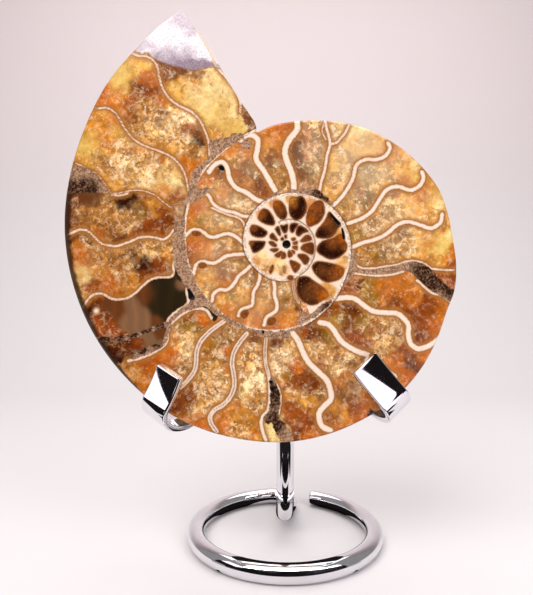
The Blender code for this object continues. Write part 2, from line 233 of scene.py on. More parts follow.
# Rock between the turns and in the cracks, as outlines in the photograph.
ROCK = (
    ((238, 133), (224, 138), (210, 141), (210, 156), (201, 164), (192, 173), (189, 187), (186, 198),
     (172, 207), (175, 218), (173, 240), (174, 262), (177, 272), (186, 287), (197, 299), (210, 310),
     (222, 319), (236, 326), (250, 330.5), (262, 333), (285, 333), (300, 329), (299, 326.4),
     (290, 329), (275, 331), (258.7, 330), (245, 326), (231.7, 319.6), (218.3, 310), (208.8, 300.7),
     (199.4, 288.6), (193, 276), (189, 265.4), (186.3, 250.6), (184.9, 237), (185.3, 215),
     (189, 202), (196.7, 190), (199.3, 177), (205, 167), (215.6, 157.5), (230.4, 145.4),
     (243, 138)),
    ((67, 192), (70, 171), (75, 167.5), (80, 166.5), (88, 169), (95, 174), (101, 183), (109, 191),
     (114, 194), (100, 192.5), (90, 192), (77, 193)),
    ((97, 337), (122, 336.5), (137, 332.5), (152, 327), (168, 321.5), (168.5, 326.5), (153, 331),
     (138, 336.5), (122, 340.5), (100, 342)),
    ((132, 352), (140, 349.5), (150, 346.5), (161, 343.5), (165, 335), (168.5, 324), (173, 327),
     (168.5, 333), (167.5, 341), (162, 346.5), (152, 352.3), (141, 357), (131, 359)),
    ((187, 303.5), (200, 298), (207, 305), (196, 308), (184, 312), (175, 319), (169.5, 324),
     (169, 320), (176, 312.5)),
    ((297, 321), (300.6, 313.8), (312.3, 313), (319.5, 306), (329.3, 300.4), (334, 296.5),
     (326.5, 308.5), (317, 315.8), (307.8, 320.4), (300.6, 325)),
    ((258, 334), (290, 332), (286, 338), (272, 339), (264, 337.5)),
    ((266, 200), (272, 194.5), (280, 191.5), (289, 190), (300, 189.3), (313, 189), (318, 190),
     (326, 196), (333, 204.5), (325, 200.5), (318, 197.2), (308, 194.3), (299, 193.2),
     (288, 191.8), (280, 193), (271, 198.5)),
    ((358, 269.5), (373, 269.5), (385, 267.5), (397, 265.5), (406, 262.5), (416, 262), (424, 264.5),
     (431, 269.5), (441, 280), (452, 289), (456, 291), (452, 302), (445, 299), (436, 293),
     (428, 288), (420, 281), (412, 273), (403, 270.5), (392, 273), (375, 274.2), (362, 274)),
    ((263, 418), (269, 410), (270.3, 396), (269.5, 380), (274, 379), (279, 390), (280.3, 402),
     (278.5, 417), (286, 425), (293, 437), (293, 443), (283, 443), (276, 432), (271, 421.5),
     (268, 424)),
    ((241, 143.5), (244, 140.5), (249, 140.2), (252.5, 143), (251, 147), (246, 149), (242, 147)),
    ((344, 285), (347.5, 276), (350.5, 262), (351.5, 249), (356, 256), (357, 267), (352, 277)),
    ((198, 190), (206, 187.5), (211, 190), (206, 194.5), (200, 199), (190, 203), (192, 197)),
)
# Where the rock is nearly black, as x, y and reach.
DARK_ROCK = (
    (432, 274, 24), (452, 285, 16), (273, 396, 16), (275, 422, 14), (68, 192, 17), (86, 190, 15),
    (100, 203, 8), (104, 340, 8), (118, 337, 7), (132, 334, 7), (146, 330, 7), (160, 326, 6),
    (128, 354, 7), (142, 350, 6), (156, 344, 6), (322, 198, 14), (330, 312, 12),
)
# Deep open spots, as outlines, and the open hub as x, y and radius; both are painted near-black, a
# painted shade.
HUB = (286.5, 244.3, 4.2)
HOLES = (
    ((187, 288.5), (190, 289.5), (194.5, 298), (189, 299.5), (188, 294)),
    ((341.4, 227.5), (343.4, 229), (345.2, 236), (345.3, 241), (343.2, 239), (341.8, 233)),
    ((329, 211.5), (334, 216), (341, 223.6), (338.5, 225), (334.5, 221), (331, 216)),
    ((262, 331), (264.5, 331), (264, 333.5), (262, 333.5)),
    ((268.6, 380.5), (272.2, 380.8), (273, 383.6), (269.6, 383.4)),
    ((270.5, 387.5), (274, 388), (273.4, 391.5), (271, 391)),
    ((218, 167), (222, 165.3), (224.6, 168.6), (223, 170.6), (220, 170)),
)
# A clear grey crystal in the rock.
CRYSTAL = ((172, 204), (181, 203), (187.5, 204), (186, 216), (178, 219), (172.5, 213))
# Dark outer edge of the last turn, and broad shading as x, y, reach and amount.
RIM = ((70, 190), (67.5, 202), (66.5, 220), (67, 240), (69, 258), (73, 278), (79.5, 300), (88, 320),
       (99, 342), (111, 360), (123, 376), (134, 388))
TONES = (
    (112, 243, 44, -0.62), (124, 354, 28, -0.62), (118, 122, 30, -0.15), (398, 322, 36, -0.3),
    (362, 152, 42, 0.34), (408, 215, 32, 0.15), (345, 420, 30, -0.15), (222, 208, 24, 0.22),
    (215, 262, 24, 0.16), (255, 305, 26, 0.16), (250, 160, 24, 0.1), (308, 155, 20, 0.06),
    (210, 108, 22, 0.12), (155, 92, 16, -0.25), (235, 352, 18, -0.12), (150, 372, 14, -0.15),
)
# The glassy dark chamber.
GLASSY = ((83, 309), (90, 297.5), (98.5, 294), (106, 296), (120, 300), (130, 297), (143, 286.5),
          (150, 281), (158, 278.5), (172, 277.5), (177, 279), (186, 289), (187.5, 299), (186, 304.5),
          (173, 313), (166, 324), (151, 328), (136, 333), (121, 337.5), (98, 339), (88, 321))

# Chambers of the inner coil, filled dark.
CELLS = (
    ((298, 280), (300.6, 277), (307.8, 277), (313, 280.6), (319.5, 285), (325.7, 289.6),
     (328.4, 296), (322, 300.4), (315, 304.4), (307.8, 304), (300.6, 298.6), (297, 290.5)),
    ((312.3, 266), (316.8, 262), (323, 262), (331, 263.6), (337.4, 265.4), (343.7, 269),
     (342, 276), (337.4, 279.7), (327.5, 282), (319.5, 278), (314, 271.7)),
    ((317.2, 251), (319.5, 244), (325.7, 240.3), (333, 238.5), (341, 234), (344.6, 241),
     (346.8, 245.6), (345.5, 251), (340, 256.4), (332, 259), (324, 256.4)),
    ((316, 236), (317.7, 229.5), (322, 225), (325.7, 219.6), (329.3, 212.3), (334.7, 218.6),
     (340.6, 225), (337.4, 228.6), (334.7, 234), (329.3, 237.6), (322, 238)),
    ((306.4, 219.6), (307.8, 211.5), (311.4, 205.3), (316.8, 201.2), (322.2, 201.7),
     (324.4, 208.8), (323.5, 215), (319.5, 221.4), (314, 225), (308.7, 226)),
    ((289.8, 213.3), (289.4, 205.3), (290.7, 198), (297, 197.2), (302.4, 196.7), (306, 202.6),
     (306.4, 209.7), (303.3, 216), (297, 220), (292.5, 217.8)),
    ((273.2, 207), (274.6, 201.7), (280, 201.2), (283.6, 204.4), (285.8, 209.7), (286.7, 215),
     (284.5, 218.7), (281, 218.7), (276.4, 214.2)),
    ((258, 217.8), (260.2, 212.4), (263.8, 208.8), (269.2, 211.5), (272.8, 217), (274.6, 223.2),
     (272, 225), (266.5, 224), (261, 221.4)),
    ((250, 229.5), (252.2, 225.4), (257.5, 226), (263.8, 229.5), (267, 232.6), (263.8, 236.7),
     (257.5, 237), (252.2, 235)),
    ((249.5, 242), (254, 241.2), (263.8, 241.6), (264.7, 243.8), (262, 248.3), (256.6, 252),
     (253, 252), (251.3, 247.4)),
    ((290, 262), (293, 261), (300, 265), (297, 271), (294, 271.5)),
    ((298, 255), (305, 254.5), (309, 259), (305.5, 264.5), (301, 259.5)),
    ((301, 248), (305, 244), (313, 243.5), (313, 254), (305, 251.5)),
    ((301, 241.5), (303, 238), (308, 235), (311.5, 239), (307, 241.2)),
    ((296, 233), (298, 227), (301, 226), (308, 231), (303, 233), (299, 236)),
    ((290, 226), (292, 223.5), (297.5, 224), (295, 229), (293, 232.5), (290.5, 231)),
    ((280.5, 226), (284, 225.5), (287.5, 224.5), (287, 231), (284, 232.5)),
    ((275.5, 229), (278.5, 227), (280.5, 234), (279, 235)),
    ((270, 237.5), (272.5, 233.5), (277, 239), (276, 240.5)),
    ((269, 242.5), (272, 241.5), (276, 244.5), (276, 246.5), (273, 246)),
    ((270.5, 249.5), (277.5, 248.5), (277.5, 250.5), (274, 252)),
    ((275, 255), (281, 251.5), (282, 253), (279, 257)),
    ((281.5, 258), (283, 252.5), (285.5, 254), (285, 258)),
    ((288, 256), (289, 250.5), (292.5, 254.5), (290, 257)),
    ((281, 238.5), (283, 237.5), (283.5, 240), (281.5, 240)),
    ((285, 235.5), (286.5, 235.5), (286.3, 238), (285.2, 238)),
    ((292, 238.5), (295, 238), (295, 240), (292.5, 240.5)),
    ((293.5, 242.5), (297, 241.5), (297, 244), (294, 244.5)),
    ((293, 246.5), (297, 246), (297, 249.5), (294, 249)),
    ((291.5, 250.5), (294.5, 251), (294, 253.5)),
    ((269.5, 271), (272.5, 265), (273.5, 268), (271, 273.5)),
    ((283.5, 267), (285, 267), (285, 272), (283.5, 271.5)),
    ((287.5, 277.5), (289.5, 275.8), (292.6, 276.5), (292.6, 279.5), (289, 279.5)),
    ((240.5, 314), (243.5, 311), (247.5, 310.5), (248.5, 314), (246, 317.5), (243, 318)),
    ((267.5, 322), (269.5, 318.5), (274.5, 318), (276, 321), (273, 324.5), (268.5, 325)),
    ((192, 232.5), (196, 231.3), (200.5, 232.8), (200, 235.3), (194.5, 236)),
    ((199, 264), (203.5, 263), (206.5, 265.5), (203.5, 268), (199.5, 267.5)),
)

# Named stone colours (sRGB), and how much pale crystal grain each shows. The white at the top
# of the tip is painted glare, its misty grey and lilac are grey rock with painted glare over it,
# and the glint is a painted highlight.
STONE = {
    "yellow": ((0.84, 0.74, 0.43), 0.12), "honey": ((0.84, 0.68, 0.36), 0.3),
    "gold": ((0.82, 0.62, 0.29), 0.4), "amber": ((0.78, 0.5, 0.19), 0.35),
    "orange": ((0.75, 0.44, 0.15), 0.25), "rust": ((0.55, 0.3, 0.13), 0.3),
    "brown": ((0.44, 0.25, 0.12), 0.4), "dark": ((0.21, 0.09, 0.035), 0.12),
    "olive": ((0.6, 0.48, 0.22), 0.5), "tan": ((0.78, 0.63, 0.4), 0.85),
    "pale": ((0.9, 0.81, 0.62), 1.0), "white": ((0.97, 0.92, 0.83), 1.0),
    "grey": ((0.72, 0.62, 0.48), 0.95), "pink": ((0.78, 0.62, 0.52), 0.8),
    "cream": ((0.91, 0.85, 0.64), 0.2), "lilac_glare": ((0.58, 0.5, 0.55), 0.0),
    "glare_white": ((0.95, 0.92, 0.94), 0.0), "grey_glare": ((0.8, 0.74, 0.78), 0.0),
    "ember": ((0.68, 0.35, 0.09), 0.0), "coal": ((0.17, 0.055, 0.02), 0.0),
    "shadow": ((0.17, 0.14, 0.09), 0.0), "umber": ((0.38, 0.22, 0.12), 0.0),
    "toffee": ((0.47, 0.34, 0.24), 0.0), "glint": ((0.98, 0.92, 0.84), 0.0),
    "wall": ((0.93, 0.83, 0.74), 0.0),
}
# Spots of each stone colour, in the photograph's frame: x, y, reach in pixels.
SPOTS = {
    # Painted glare: white over the top of the tip, and painted highlights along its bevelled edges.
    "glare_white": (
        (177, 37, 10), (194, 42, 9), (160, 44, 7), (203, 54, 6), (148, 53, 4), (156, 39, 5),
        (165, 28, 5), (205, 46, 5), (211, 58, 4),
    ),
    # Grey rock of the tip with painted glare over it, pale grey and lilac.
    "grey_glare": ((182, 20, 10), (190, 29, 7), (168, 53, 8), (184, 52, 8), (150, 48, 7)),
    "lilac_glare": ((178, 63, 9), (192, 66, 8), (164, 60, 8), (206, 66, 6)),
    "umber": (
        (184, 71, 4), (198, 73, 4), (90, 200, 9), (105, 304, 8), (118, 310, 8), (146, 296, 8),
        (118, 296, 6), (155, 322, 5), (158, 333, 6),
    ),
    "brown": (
        (247, 117, 9), (172, 73, 9), (139, 85, 8), (161, 117, 7), (204, 132, 5), (184, 178, 5),
        (72, 205, 7), (145, 212, 7), (170, 222, 8), (75, 222, 7), (118, 236, 6), (73, 240, 6),
        (168, 268, 5), (140, 276, 6), (94, 300, 7), (104, 318, 6), (122, 346, 8), (118, 368, 5),
        (185, 318, 7), (256, 341, 5), (276, 345, 5), (310, 388, 10), (300, 434, 6), (312, 330, 8),
        (318, 342, 4), (348, 310, 7), (415, 362, 7), (350, 322, 6), (360, 280, 6), (416, 335, 6),
        (435, 292, 6), (405, 232, 6), (392, 195, 6), (364, 168, 6), (300, 148, 7), (302, 172, 6),
        (298, 160, 5), (268, 160, 5), (245, 166, 6), (255, 180, 7), (258, 194, 5), (218, 172, 6),
        (240, 193, 4), (222, 216, 4), (230, 216, 4), (238, 243, 4), (238, 258, 4), (256, 274, 4),
        (262, 291, 3), (282, 305, 4), (296, 308, 4),
    ),
    "grey": (
        (243, 108, 4), (86, 242, 7), (130, 252, 9), (178, 335, 7), (182, 368, 8), (222, 336, 7),
        (251, 348, 7), (395, 330, 7), (390, 248, 9), (362, 262, 6), (370, 225, 9), (360, 200, 9),
        (368, 178, 9), (345, 172, 6), (315, 168, 8), (318, 140, 6), (276, 166, 6), (252, 172, 6),
        (238, 198, 8), (250, 208, 5), (236, 228, 6), (222, 244, 7), (232, 264, 7), (248, 280, 6),
        (264, 285, 6), (284, 288, 6),
    ),
    "white": (
        # The first white spot is a painted glint.
        (250.5, 125, 3), (180, 120, 8), (122, 168, 9), (187, 357, 9), (218, 388, 8), (250, 380, 9),
        (284, 357, 9), (281, 366, 8), (342, 370, 5), (244, 204, 7),
    ),
    "tan": (
        (196, 80, 8), (150, 108, 10), (140, 120, 10), (198, 152, 7), (110, 158, 12), (100, 212, 11),
        (112, 226, 10), (88, 222, 9), (110, 258, 9), (165, 250, 8), (122, 272, 9), (81, 290, 6),
        (128, 364, 7), (215, 358, 9), (200, 385, 8), (205, 400, 9), (195, 412, 8), (255, 405, 9),
        (236, 424, 9), (297, 395, 7), (320, 395, 6), (330, 352, 8), (355, 385, 7), (372, 330, 8),
        (378, 352, 8), (365, 255, 9), (400, 257, 7), (385, 212, 9), (355, 226, 6), (345, 210, 7),
        (378, 185, 8), (335, 185, 8), (340, 150, 8), (280, 178, 6), (238, 160, 6), (215, 186, 7),
        (228, 203, 5), (212, 222, 7), (242, 236, 4), (234, 247, 6), (240, 285, 7), (266, 296, 6),
        (290, 302, 5),
    ),
    "honey": (
        (178, 88, 9), (190, 103, 9), (140, 66, 10), (115, 130, 8), (80, 160, 9), (435, 200, 8),
        (412, 175, 8), (338, 165, 8), (350, 148, 7), (330, 195, 6), (205, 218, 7), (212, 278, 7),
    ),
    "cream": (
        (200, 94, 14), (222, 88, 14), (234, 108, 8), (165, 182, 12), (84, 272, 9), (275, 430, 7),
        (277, 437, 6), (452, 235, 6), (440, 205, 5), (418, 168, 5), (362, 130, 6), (345, 128, 6),
    ),
    "yellow": ((212, 110, 14), (228, 128, 9), (118, 78, 14), (86, 145, 14), (440, 240, 9)),
    "gold": (
        (217, 130, 9), (145, 142, 8), (172, 150, 8), (92, 125, 12), (112, 183, 7), (153, 206, 9),
        (100, 272, 8), (130, 284, 8), (135, 376, 8), (240, 410, 8), (250, 425, 7), (262, 440, 6),
        (310, 403, 7), (340, 415, 9), (425, 240, 9), (430, 255, 8), (442, 228, 6), (410, 205, 9),
        (425, 210, 9), (400, 170, 9), (405, 160, 7), (360, 140, 9), (378, 140, 8), (372, 152, 6),
        (268, 150, 5), (220, 230, 5), (205, 272, 6), (203, 282, 6), (222, 302, 7), (245, 298, 6),
        (262, 308, 6), (288, 310, 6),
    ),
    "orange": (
        (103, 97, 12), (152, 72, 6), (146, 78, 6), (195, 168, 6), (118, 122, 7), (135, 152, 6),
        (165, 160, 5), (100, 236, 7), (85, 262, 8), (110, 284, 8), (155, 362, 9), (168, 350, 7),
        (175, 366, 7), (203, 322, 5), (190, 380, 3), (202, 424, 7), (229, 350, 5), (228, 372, 4),
        (237, 404, 5), (256, 434, 6), (226, 428, 6), (312, 433, 7), (290, 412, 6), (296, 366, 5),
        (360, 415, 8), (345, 428, 7), (400, 375, 9), (425, 358, 6), (436, 325, 8), (440, 306, 6),
        (408, 183, 5), (285, 129, 6), (232, 150, 7), (234, 182, 5), (209, 178, 6), (222, 194, 6),
        (196, 210, 6), (196, 245, 7), (225, 284, 4), (220, 293, 3), (256, 315, 7), (259, 322, 5),
        (278, 325, 5),
    ),
    "amber": (
        (122, 97, 10), (163, 99, 7), (192, 165, 9), (105, 136, 9), (160, 192, 8), (85, 228, 6),
        (73, 258, 10), (118, 292, 6), (80, 247, 7), (146, 388, 9), (178, 340, 7), (176, 378, 6),
        (205, 340, 5), (180, 416, 7), (190, 422, 6), (200, 360, 4), (224, 415, 6), (240, 356, 4),
        (278, 378, 5), (345, 382, 8), (365, 400, 8), (330, 436, 6), (395, 362, 8), (385, 372, 6),
        (385, 290, 9), (408, 300, 8), (400, 285, 8), (445, 318, 5), (450, 255, 6), (418, 196, 7),
        (395, 155, 7), (398, 180, 5), (384, 148, 6), (270, 133, 8), (265, 144, 7), (245, 158, 7),
        (246, 184, 5), (226, 155, 6), (205, 186, 5), (190, 222, 5), (208, 248, 7), (200, 255, 5),
        (218, 280, 5), (228, 310, 6), (233, 315, 5), (248, 322, 6), (284, 318, 7),
    ),
    "rust": (
        (133, 103, 8), (153, 93, 7), (187, 132, 7), (172, 196, 8), (165, 213, 8), (155, 224, 9),
        (140, 234, 6), (150, 200, 6), (148, 276, 8), (160, 266, 7), (94, 286, 8), (97, 324, 9),
        (112, 331, 6), (135, 345, 6), (190, 315, 5), (216, 330, 5), (185, 395, 8), (178, 405, 9),
        (247, 342, 6), (217, 415, 4), (300, 386, 8), (288, 404, 8), (295, 420, 9), (310, 422, 9),
        (318, 428, 5), (305, 335, 5), (322, 366, 5), (335, 392, 6), (352, 405, 9), (332, 420, 6),
        (335, 308, 7), (352, 335, 7), (402, 352, 7), (365, 343, 5), (350, 288, 7), (395, 302, 8),
        (418, 320, 9), (430, 308, 8), (425, 335, 6), (445, 283, 6), (452, 277, 6), (453, 264, 6),
        (400, 192, 4), (355, 190, 5), (350, 158, 4), (301, 136, 4), (270, 156, 6), (280, 162, 4),
        (238, 172, 7), (262, 188, 6), (226, 184, 5), (192, 252, 5), (225, 248, 5), (223, 272, 6),
        (268, 303, 4),
    ),
    "pale": (
        (172, 109, 6), (148, 130, 10), (170, 126, 11), (182, 142, 10), (130, 160, 14), (150, 165, 14),
        (175, 170, 8), (128, 220, 10), (98, 256, 10), (148, 246, 10), (112, 246, 6), (185, 345, 10),
        (215, 375, 10), (225, 385, 6), (248, 365, 10), (246, 392, 8), (290, 348, 7), (318, 350, 8),
        (338, 362, 8), (385, 340, 10), (410, 245, 9), (395, 208, 9), (385, 172, 8), (332, 135, 7),
        (320, 125, 6), (283, 186, 4), (228, 222, 7), (210, 290, 4),
    ),
    "dark": (
        (196, 140, 8), (130, 200, 10), (120, 198, 7), (146, 268, 8), (88, 310, 6), (112, 354, 8),
        (124, 360, 6), (104, 350, 7),
    ),
    "olive": (
        (128, 176, 7), (138, 215, 7), (186, 326, 9), (214, 342, 8), (238, 385, 5), (288, 374, 7),
        (325, 335, 7), (345, 395, 8), (340, 318, 8), (360, 325, 8), (368, 295, 8), (375, 285, 7),
        (375, 250, 9), (358, 232, 8), (342, 204, 6), (328, 178, 5), (200, 222, 6), (214, 242, 5),
        (240, 262, 5), (232, 295, 7), (287, 298, 6),
    ),
    "toffee": (
        (133, 306, 7), (128, 320, 7), (143, 314, 6), (137, 329, 5), (147, 322, 5), (180, 285, 4.5),
        (150, 338, 7),
    ),
    "shadow": ((158, 300, 12), (172, 300, 12), (168, 288, 9), (182, 303, 6)),
    "glint": ((96, 311, 2.6),),
    "pink": (
        (355, 275, 5), (350, 293, 4), (310, 130, 9), (312, 150, 8), (305, 185, 6), (214, 252, 5),
        (305, 309, 5),
    ),
}
# Face points further round than this lie in the inner coil.
INNER_COIL_HEADING = 648.0
INNER_SPOTS = {
    "wall": ((300, 240, 60),),
    "amber": (
        (326, 291, 6), (341, 268, 6), (336, 238, 5), (312, 203, 5), (274, 203, 4), (260, 214, 3),
        (258, 261, 4),
    ),
    "honey": ((332, 292, 4), (344, 262, 5), (338, 232, 3), (310, 206, 4), (291, 200, 4), (326, 285, 3)),
    "cream": ((262, 258, 6), (278, 264, 7)),
    "tan": ((266, 268, 5), (284, 270, 4)),
}
CELL_SPOTS = {
    "coal": ((300, 240, 60),),
    "ember": (
        (324, 293, 7), (341, 270, 6), (340, 237, 6), (310, 220, 6), (311, 207, 4), (275, 205, 5),
        (259, 217, 3), (294, 239, 2.4), (295, 243, 2.4), (295, 248, 2.6), (293, 252, 2.4),
    ),
    "rust": (
        (317, 287, 6), (334, 274, 6), (333, 242, 6), (344, 247, 3), (326, 222, 6), (314, 212, 7),
        (320, 206, 5), (294, 206, 3), (279, 211, 5), (262, 214, 4), (254, 228, 3), (251, 243, 2.5),
        (304, 249, 8), (305, 239, 6), (296, 266, 6), (284, 256, 4), (290, 254, 3), (279, 254, 3),
        (274, 251, 3), (271, 269, 4), (290, 278, 4), (244, 314, 5), (271, 321, 6), (196, 234, 5),
        (203, 265, 5),
    ),
    "brown": ((310, 292, 7), (322, 270, 5), (332, 228, 5), (304, 260, 4), (272, 244, 3), (274, 238, 3)),
    "amber": ((329, 296, 4), (343, 266, 3), (291, 200, 5)),
    "tan": ((284, 269, 3),),
    "shadow": ((286.5, 244, 3),),
}


# Stone colours blend in linear light, and spots that reach further than this count for less.
GAMMA = 2.2
BROAD_REACH = 20
# Size, strength and slice of the noise that makes the borders of the colours ragged.
RAGGED = ((12, 8.0, 0.5), (4.6, 4.5, 9.5))
RAGGED_SEED = 7
# Pixels that count as far, degrees a wall reaches along the coil, and the overlap of the turns.
FAR = 40.0
UNMARKED = 20.0
SEPTUM_REACH = 75
TURN_OVERLAP = 9
# The grey crystal: its colour and grain, its outline and how far the rock keeps off it.
CRYSTAL_STONE = (0.42, 0.36, 0.31, 0.9)
CRYSTAL_EDGE, CRYSTAL_MARGIN = 0.6, 0.5
# What the back carries where the face has its painted values.
BACK_VALUES = {
    "stone": (0.3, 0.17, 0.08, 0.5), "cell_stone": (0.05, 0.03, 0.02, 0), "tone": 0.0, "soot": 0.0,
}


def spot_list(groups):
    """(colour, x, y, reach) of every spot."""
    return [(colour, *spot) for colour, spots in groups.items() for spot in spots]


def smooth_line(points, steps=6, closed=False):
    """Catmull-Rom line through the given points."""
    p = np.array(points, float)
    if closed:
        p = np.vstack([p[-1], p, p[:2]])
    else:
        p = np.vstack([2 * p[0] - p[1], p, 2 * p[-1] - p[-2]])
    line = []
    for a, b, c, d in zip(p, p[1:], p[2:], p[3:]):
        for t in np.arange(steps) / steps:
            line.append(0.5 * (2 * b + (c - a) * t + (2 * a - 5 * b + 4 * c - d) * t**2
                               + (3 * b - a - 3 * c + d) * t**3))
    if not closed:
        line.append(p[-2])
    return np.array(line)


def line_distance(points, line):
    """Distance to a line of points, and which side of its nearest stretch each point is on."""
    start, run = line[:-1], np.diff(line, axis=0)
    rel = points[:, None] - start[None]
    length2 = (run**2).sum(1)
    t = np.clip((rel * run).sum(2) / length2, 0, 1)
    off = rel - t[..., None] * run
    d2 = (off**2).sum(2)
    near = d2.argmin(1)
    rows = np.arange(len(points))
    side = run[near, 0] * rel[rows, near, 1] - run[near, 1] * rel[rows, near, 0]
    return np.sqrt(d2[rows, near]), side


def outline_distance(points, outline):
    """Signed distance to a closed outline, negative inside."""
    closed = np.vstack([outline, outline[:1]])
    distance, _ = line_distance(points, closed)
    x, y = points[:, 0, None], points[:, 1, None]
    x0, y0, x1, y1 = closed[:-1, 0], closed[:-1, 1], closed[1:, 0], closed[1:, 1]
    crosses = ((y0 > y) != (y1 > y)) & (x < (x1 - x0) * (y - y0) / (y1 - y0 + 1e-12) + x0)
    inside = crosses.sum(1) % 2 == 1
    return np.where(inside, -distance, distance)


def nearest_outline(points, outlines, reach=12.0, smooth=True):
    """Smallest signed distance to many outlines, worked out only close to each."""
    best = np.full(len(points), reach)
    for outline in outlines:
        line = smooth_line(outline, 4, closed=True) if smooth else np.array(outline, float)
        low, high = line.min(0) - reach, line.max(0) + reach
        near = ((points > low) & (points < high)).all(1)
        best[near] = np.minimum(best[near], outline_distance(points[near], line))
    return best


def total_heading(points):
    """Heading along the coil of face points in pixels, counted on from turn to turn."""
    x = (points[:, 0] - PHOTO_MIDDLE[0]) * PIXEL_MM + CAMERA.x - CENTRE_X
    z = CAMERA.z - (points[:, 1] - PHOTO_MIDDLE[1]) * PIXEL_MM - CENTRE_Z
    radius = np.hypot(x, z)
    heading = np.degrees(np.arctan2(z, x)) % TURN
    heading = np.where(heading < APERTURE_HEADING - TURN_OVERLAP, heading + TURN, heading)
    for _ in range(3):
        deeper = (heading + TURN < VENTER[-1, 0]) & (radius < venter(heading + TURN))
        heading = np.where(deeper, heading + TURN, heading)
    return heading, radius


def chambers(points, lines):
    """Distance to the nearest septum less its half width, and the chamber each point is in."""
    heading, _ = total_heading(points)
    best = np.full(len(points), FAR)
    gap = best.copy()
    chamber = np.zeros(len(points), int)
    for number, (half, line) in enumerate(lines):
        middle = total_heading(line[len(line) // 2][None])[0][0]
        near = abs(heading - middle) < SEPTUM_REACH
        distance, side = line_distance(points[near], line)
        closer = distance < best[near]
        index = np.flatnonzero(near)[closer]
        best[index] = distance[closer]
        gap[index] = distance[closer] - half
        chamber[index] = number + (side[closer] > 0)
    return gap, chamber


def marks(points, spots):
    """How strongly each round mark (x, y, reach) shows at each point."""
    for x, y, reach in spots:
        yield np.exp(-((points - (x, y)) ** 2).sum(1) / reach**2)


def stone_colours(points, spots, chamber=None, spot_chamber=None):
    """Colour and grain at each point, blended from the spots in the point's own chamber."""
    colour = np.zeros((len(points), 4))
    weight = np.zeros(len(points))
    for number, (name, x, y, reach) in enumerate(spots):
        near = slice(None) if chamber is None else np.flatnonzero(chamber == spot_chamber[number])
        d2 = ((points[near] - (x, y)) ** 2).sum(1) / reach**2
        w = (np.exp(-1.6 * d2) + 0.01 / (1 + d2) ** 3) / max(1, reach / BROAD_REACH)
        rgb, grain = STONE[name]
        colour[near] += w[:, None] * np.array([*[c**GAMMA for c in rgb], grain])
        weight[near] += w
    return colour / np.maximum(weight, 1e-9)[:, None]


# The mesh: columns for a turn of the face, and its rows as (column step, outer radius, spacing).
COLUMNS = 720
LEVELS = ((4, 8.0, 0.2), (2, 17.0, 0.24), (1, 77.0, 0.52))
RIM_KEEP = 0.2
BACK_STEP = 2
COVERED_SHARES = (0.0, 0.12, 0.3, 0.55, 0.8, 1.0)
OPEN_SHARES = (0.08, 0.16, 0.25, 0.34, 0.43, 0.52, 0.6, 0.68, 0.75, 0.81, 0.87, 0.92, 0.96, 0.985)
LOWEST_EMBRACE = 0.22
LIP_BEVEL_DEGREES = 0.3
LIP_BEVEL_HEIGHT = 0.5
LIP_BEVEL_START = 34.1
LIP_BEVEL_RISE = 2
CHAMFER_FADE = 16
WALL_ROWS = 12
WALL_COLUMNS = 90
WALL_SEED = 7
WALL_WAVES = 18
WALL_HOLLOW = 0.55
WALL_ROUGHNESS = 0.12
NAVEL_SHARES = (0.3, 0.6, 0.82)
NAVEL_PULL = 0.4
HOLE_DEPTH = 0.7
ROCK_DEPTH = 0.12


def chamfer(columns):
    """Width of the bevel round the face, gone where the edge meets the lip."""
    return EDGE_CHAMFER * np.clip((COLUMNS - np.asarray(columns)) / CHAMFER_FADE, 0, 1)


def lip_share(radius):
    """How much of the bevel along the lip is there at this radius."""
    return np.clip((radius - LIP_BEVEL_START) / LIP_BEVEL_RISE, 0, 1)


def flank(share):
    low = 0.45 + 0.55 * np.sin(0.5 * np.pi * np.clip(share / FLANK_TOP, 0, 1)) ** 0.6
    high = (1 - np.clip((share - FLANK_TOP) / (1 - FLANK_TOP), 0, 1) ** 2.2) ** 0.55
    return np.where(share < FLANK_TOP, low, high)


def section(heading, share):
    """(heading, radius, height) on the back of the coil, with its ribs and growth lines."""
    low, high = UMBILICUS * venter(heading), venter(heading)
    fade = np.clip((share - 0.2) / 0.4, 0, 1)
    wave = 0.5 + 0.5 * np.cos(np.radians(heading) * RIBS_PER_TURN)
    lines = 0.5 + 0.5 * np.cos(np.radians(heading) * RIBS_PER_TURN * 5 + 3 * share)
    rib = 1 - RIB_DEPTH * fade * (1 - wave) - 0.004 * lines * fade
    return np.stack(np.broadcast_arrays(
        heading, low + share * (high - low), HALF_WIDTH * high * flank(share) * rib
    ), axis=-1)


def embrace(heading):
    low, high = UMBILICUS * venter(heading), venter(heading)
    share = (UMBILICUS * venter(np.asarray(heading) - TURN) - low) / (high - low)
    return np.maximum(share, LOWEST_EMBRACE)


class ShellMesh:
    """Vertices as (heading, radius, height) and the faces between them."""

    def __init__(self):
        self.points = []
        self.faces = []

    def add(self, point):
        self.points.append(tuple(float(v) for v in point))
        return len(self.points) - 1

    def face(self, *corners):
        kept = [c for i, c in enumerate(corners) if c != corners[i - 1]]
        if len(set(kept)) >= 3:
            self.faces.append(tuple(kept))

    def zip(self, upper, lower):
        """Triangles between two lines of vertices that run the same way, in order of radius."""
        i = j = 0
        while i < len(upper) - 1 or j < len(lower) - 1:
            step_upper = j == len(lower) - 1 or (
                i < len(upper) - 1 and self.points[upper[i + 1]][1] <= self.points[lower[j + 1]][1]
            )
            corner = upper[i + 1] if step_upper else lower[j + 1]
            self.face(upper[i], corner, lower[j])
            i, j = (i + 1, j) if step_upper else (i, j + 1)


def face_rows():
    """(radius, column step) of the rows; one of them runs exactly through the notch."""
    rows, radius = [], 0.12
    for step, limit, spacing in LEVELS:
        while radius < limit - 0.5 * spacing:
            rows.append((radius, step))
            radius += spacing
        radius = limit
    notch_radius = float(venter(APERTURE_HEADING + TURN))
    notch = min(range(len(rows)), key=lambda i: abs(rows[i][0] - notch_radius))
    rows[notch] = (notch_radius, rows[notch][1])
    return rows, notch


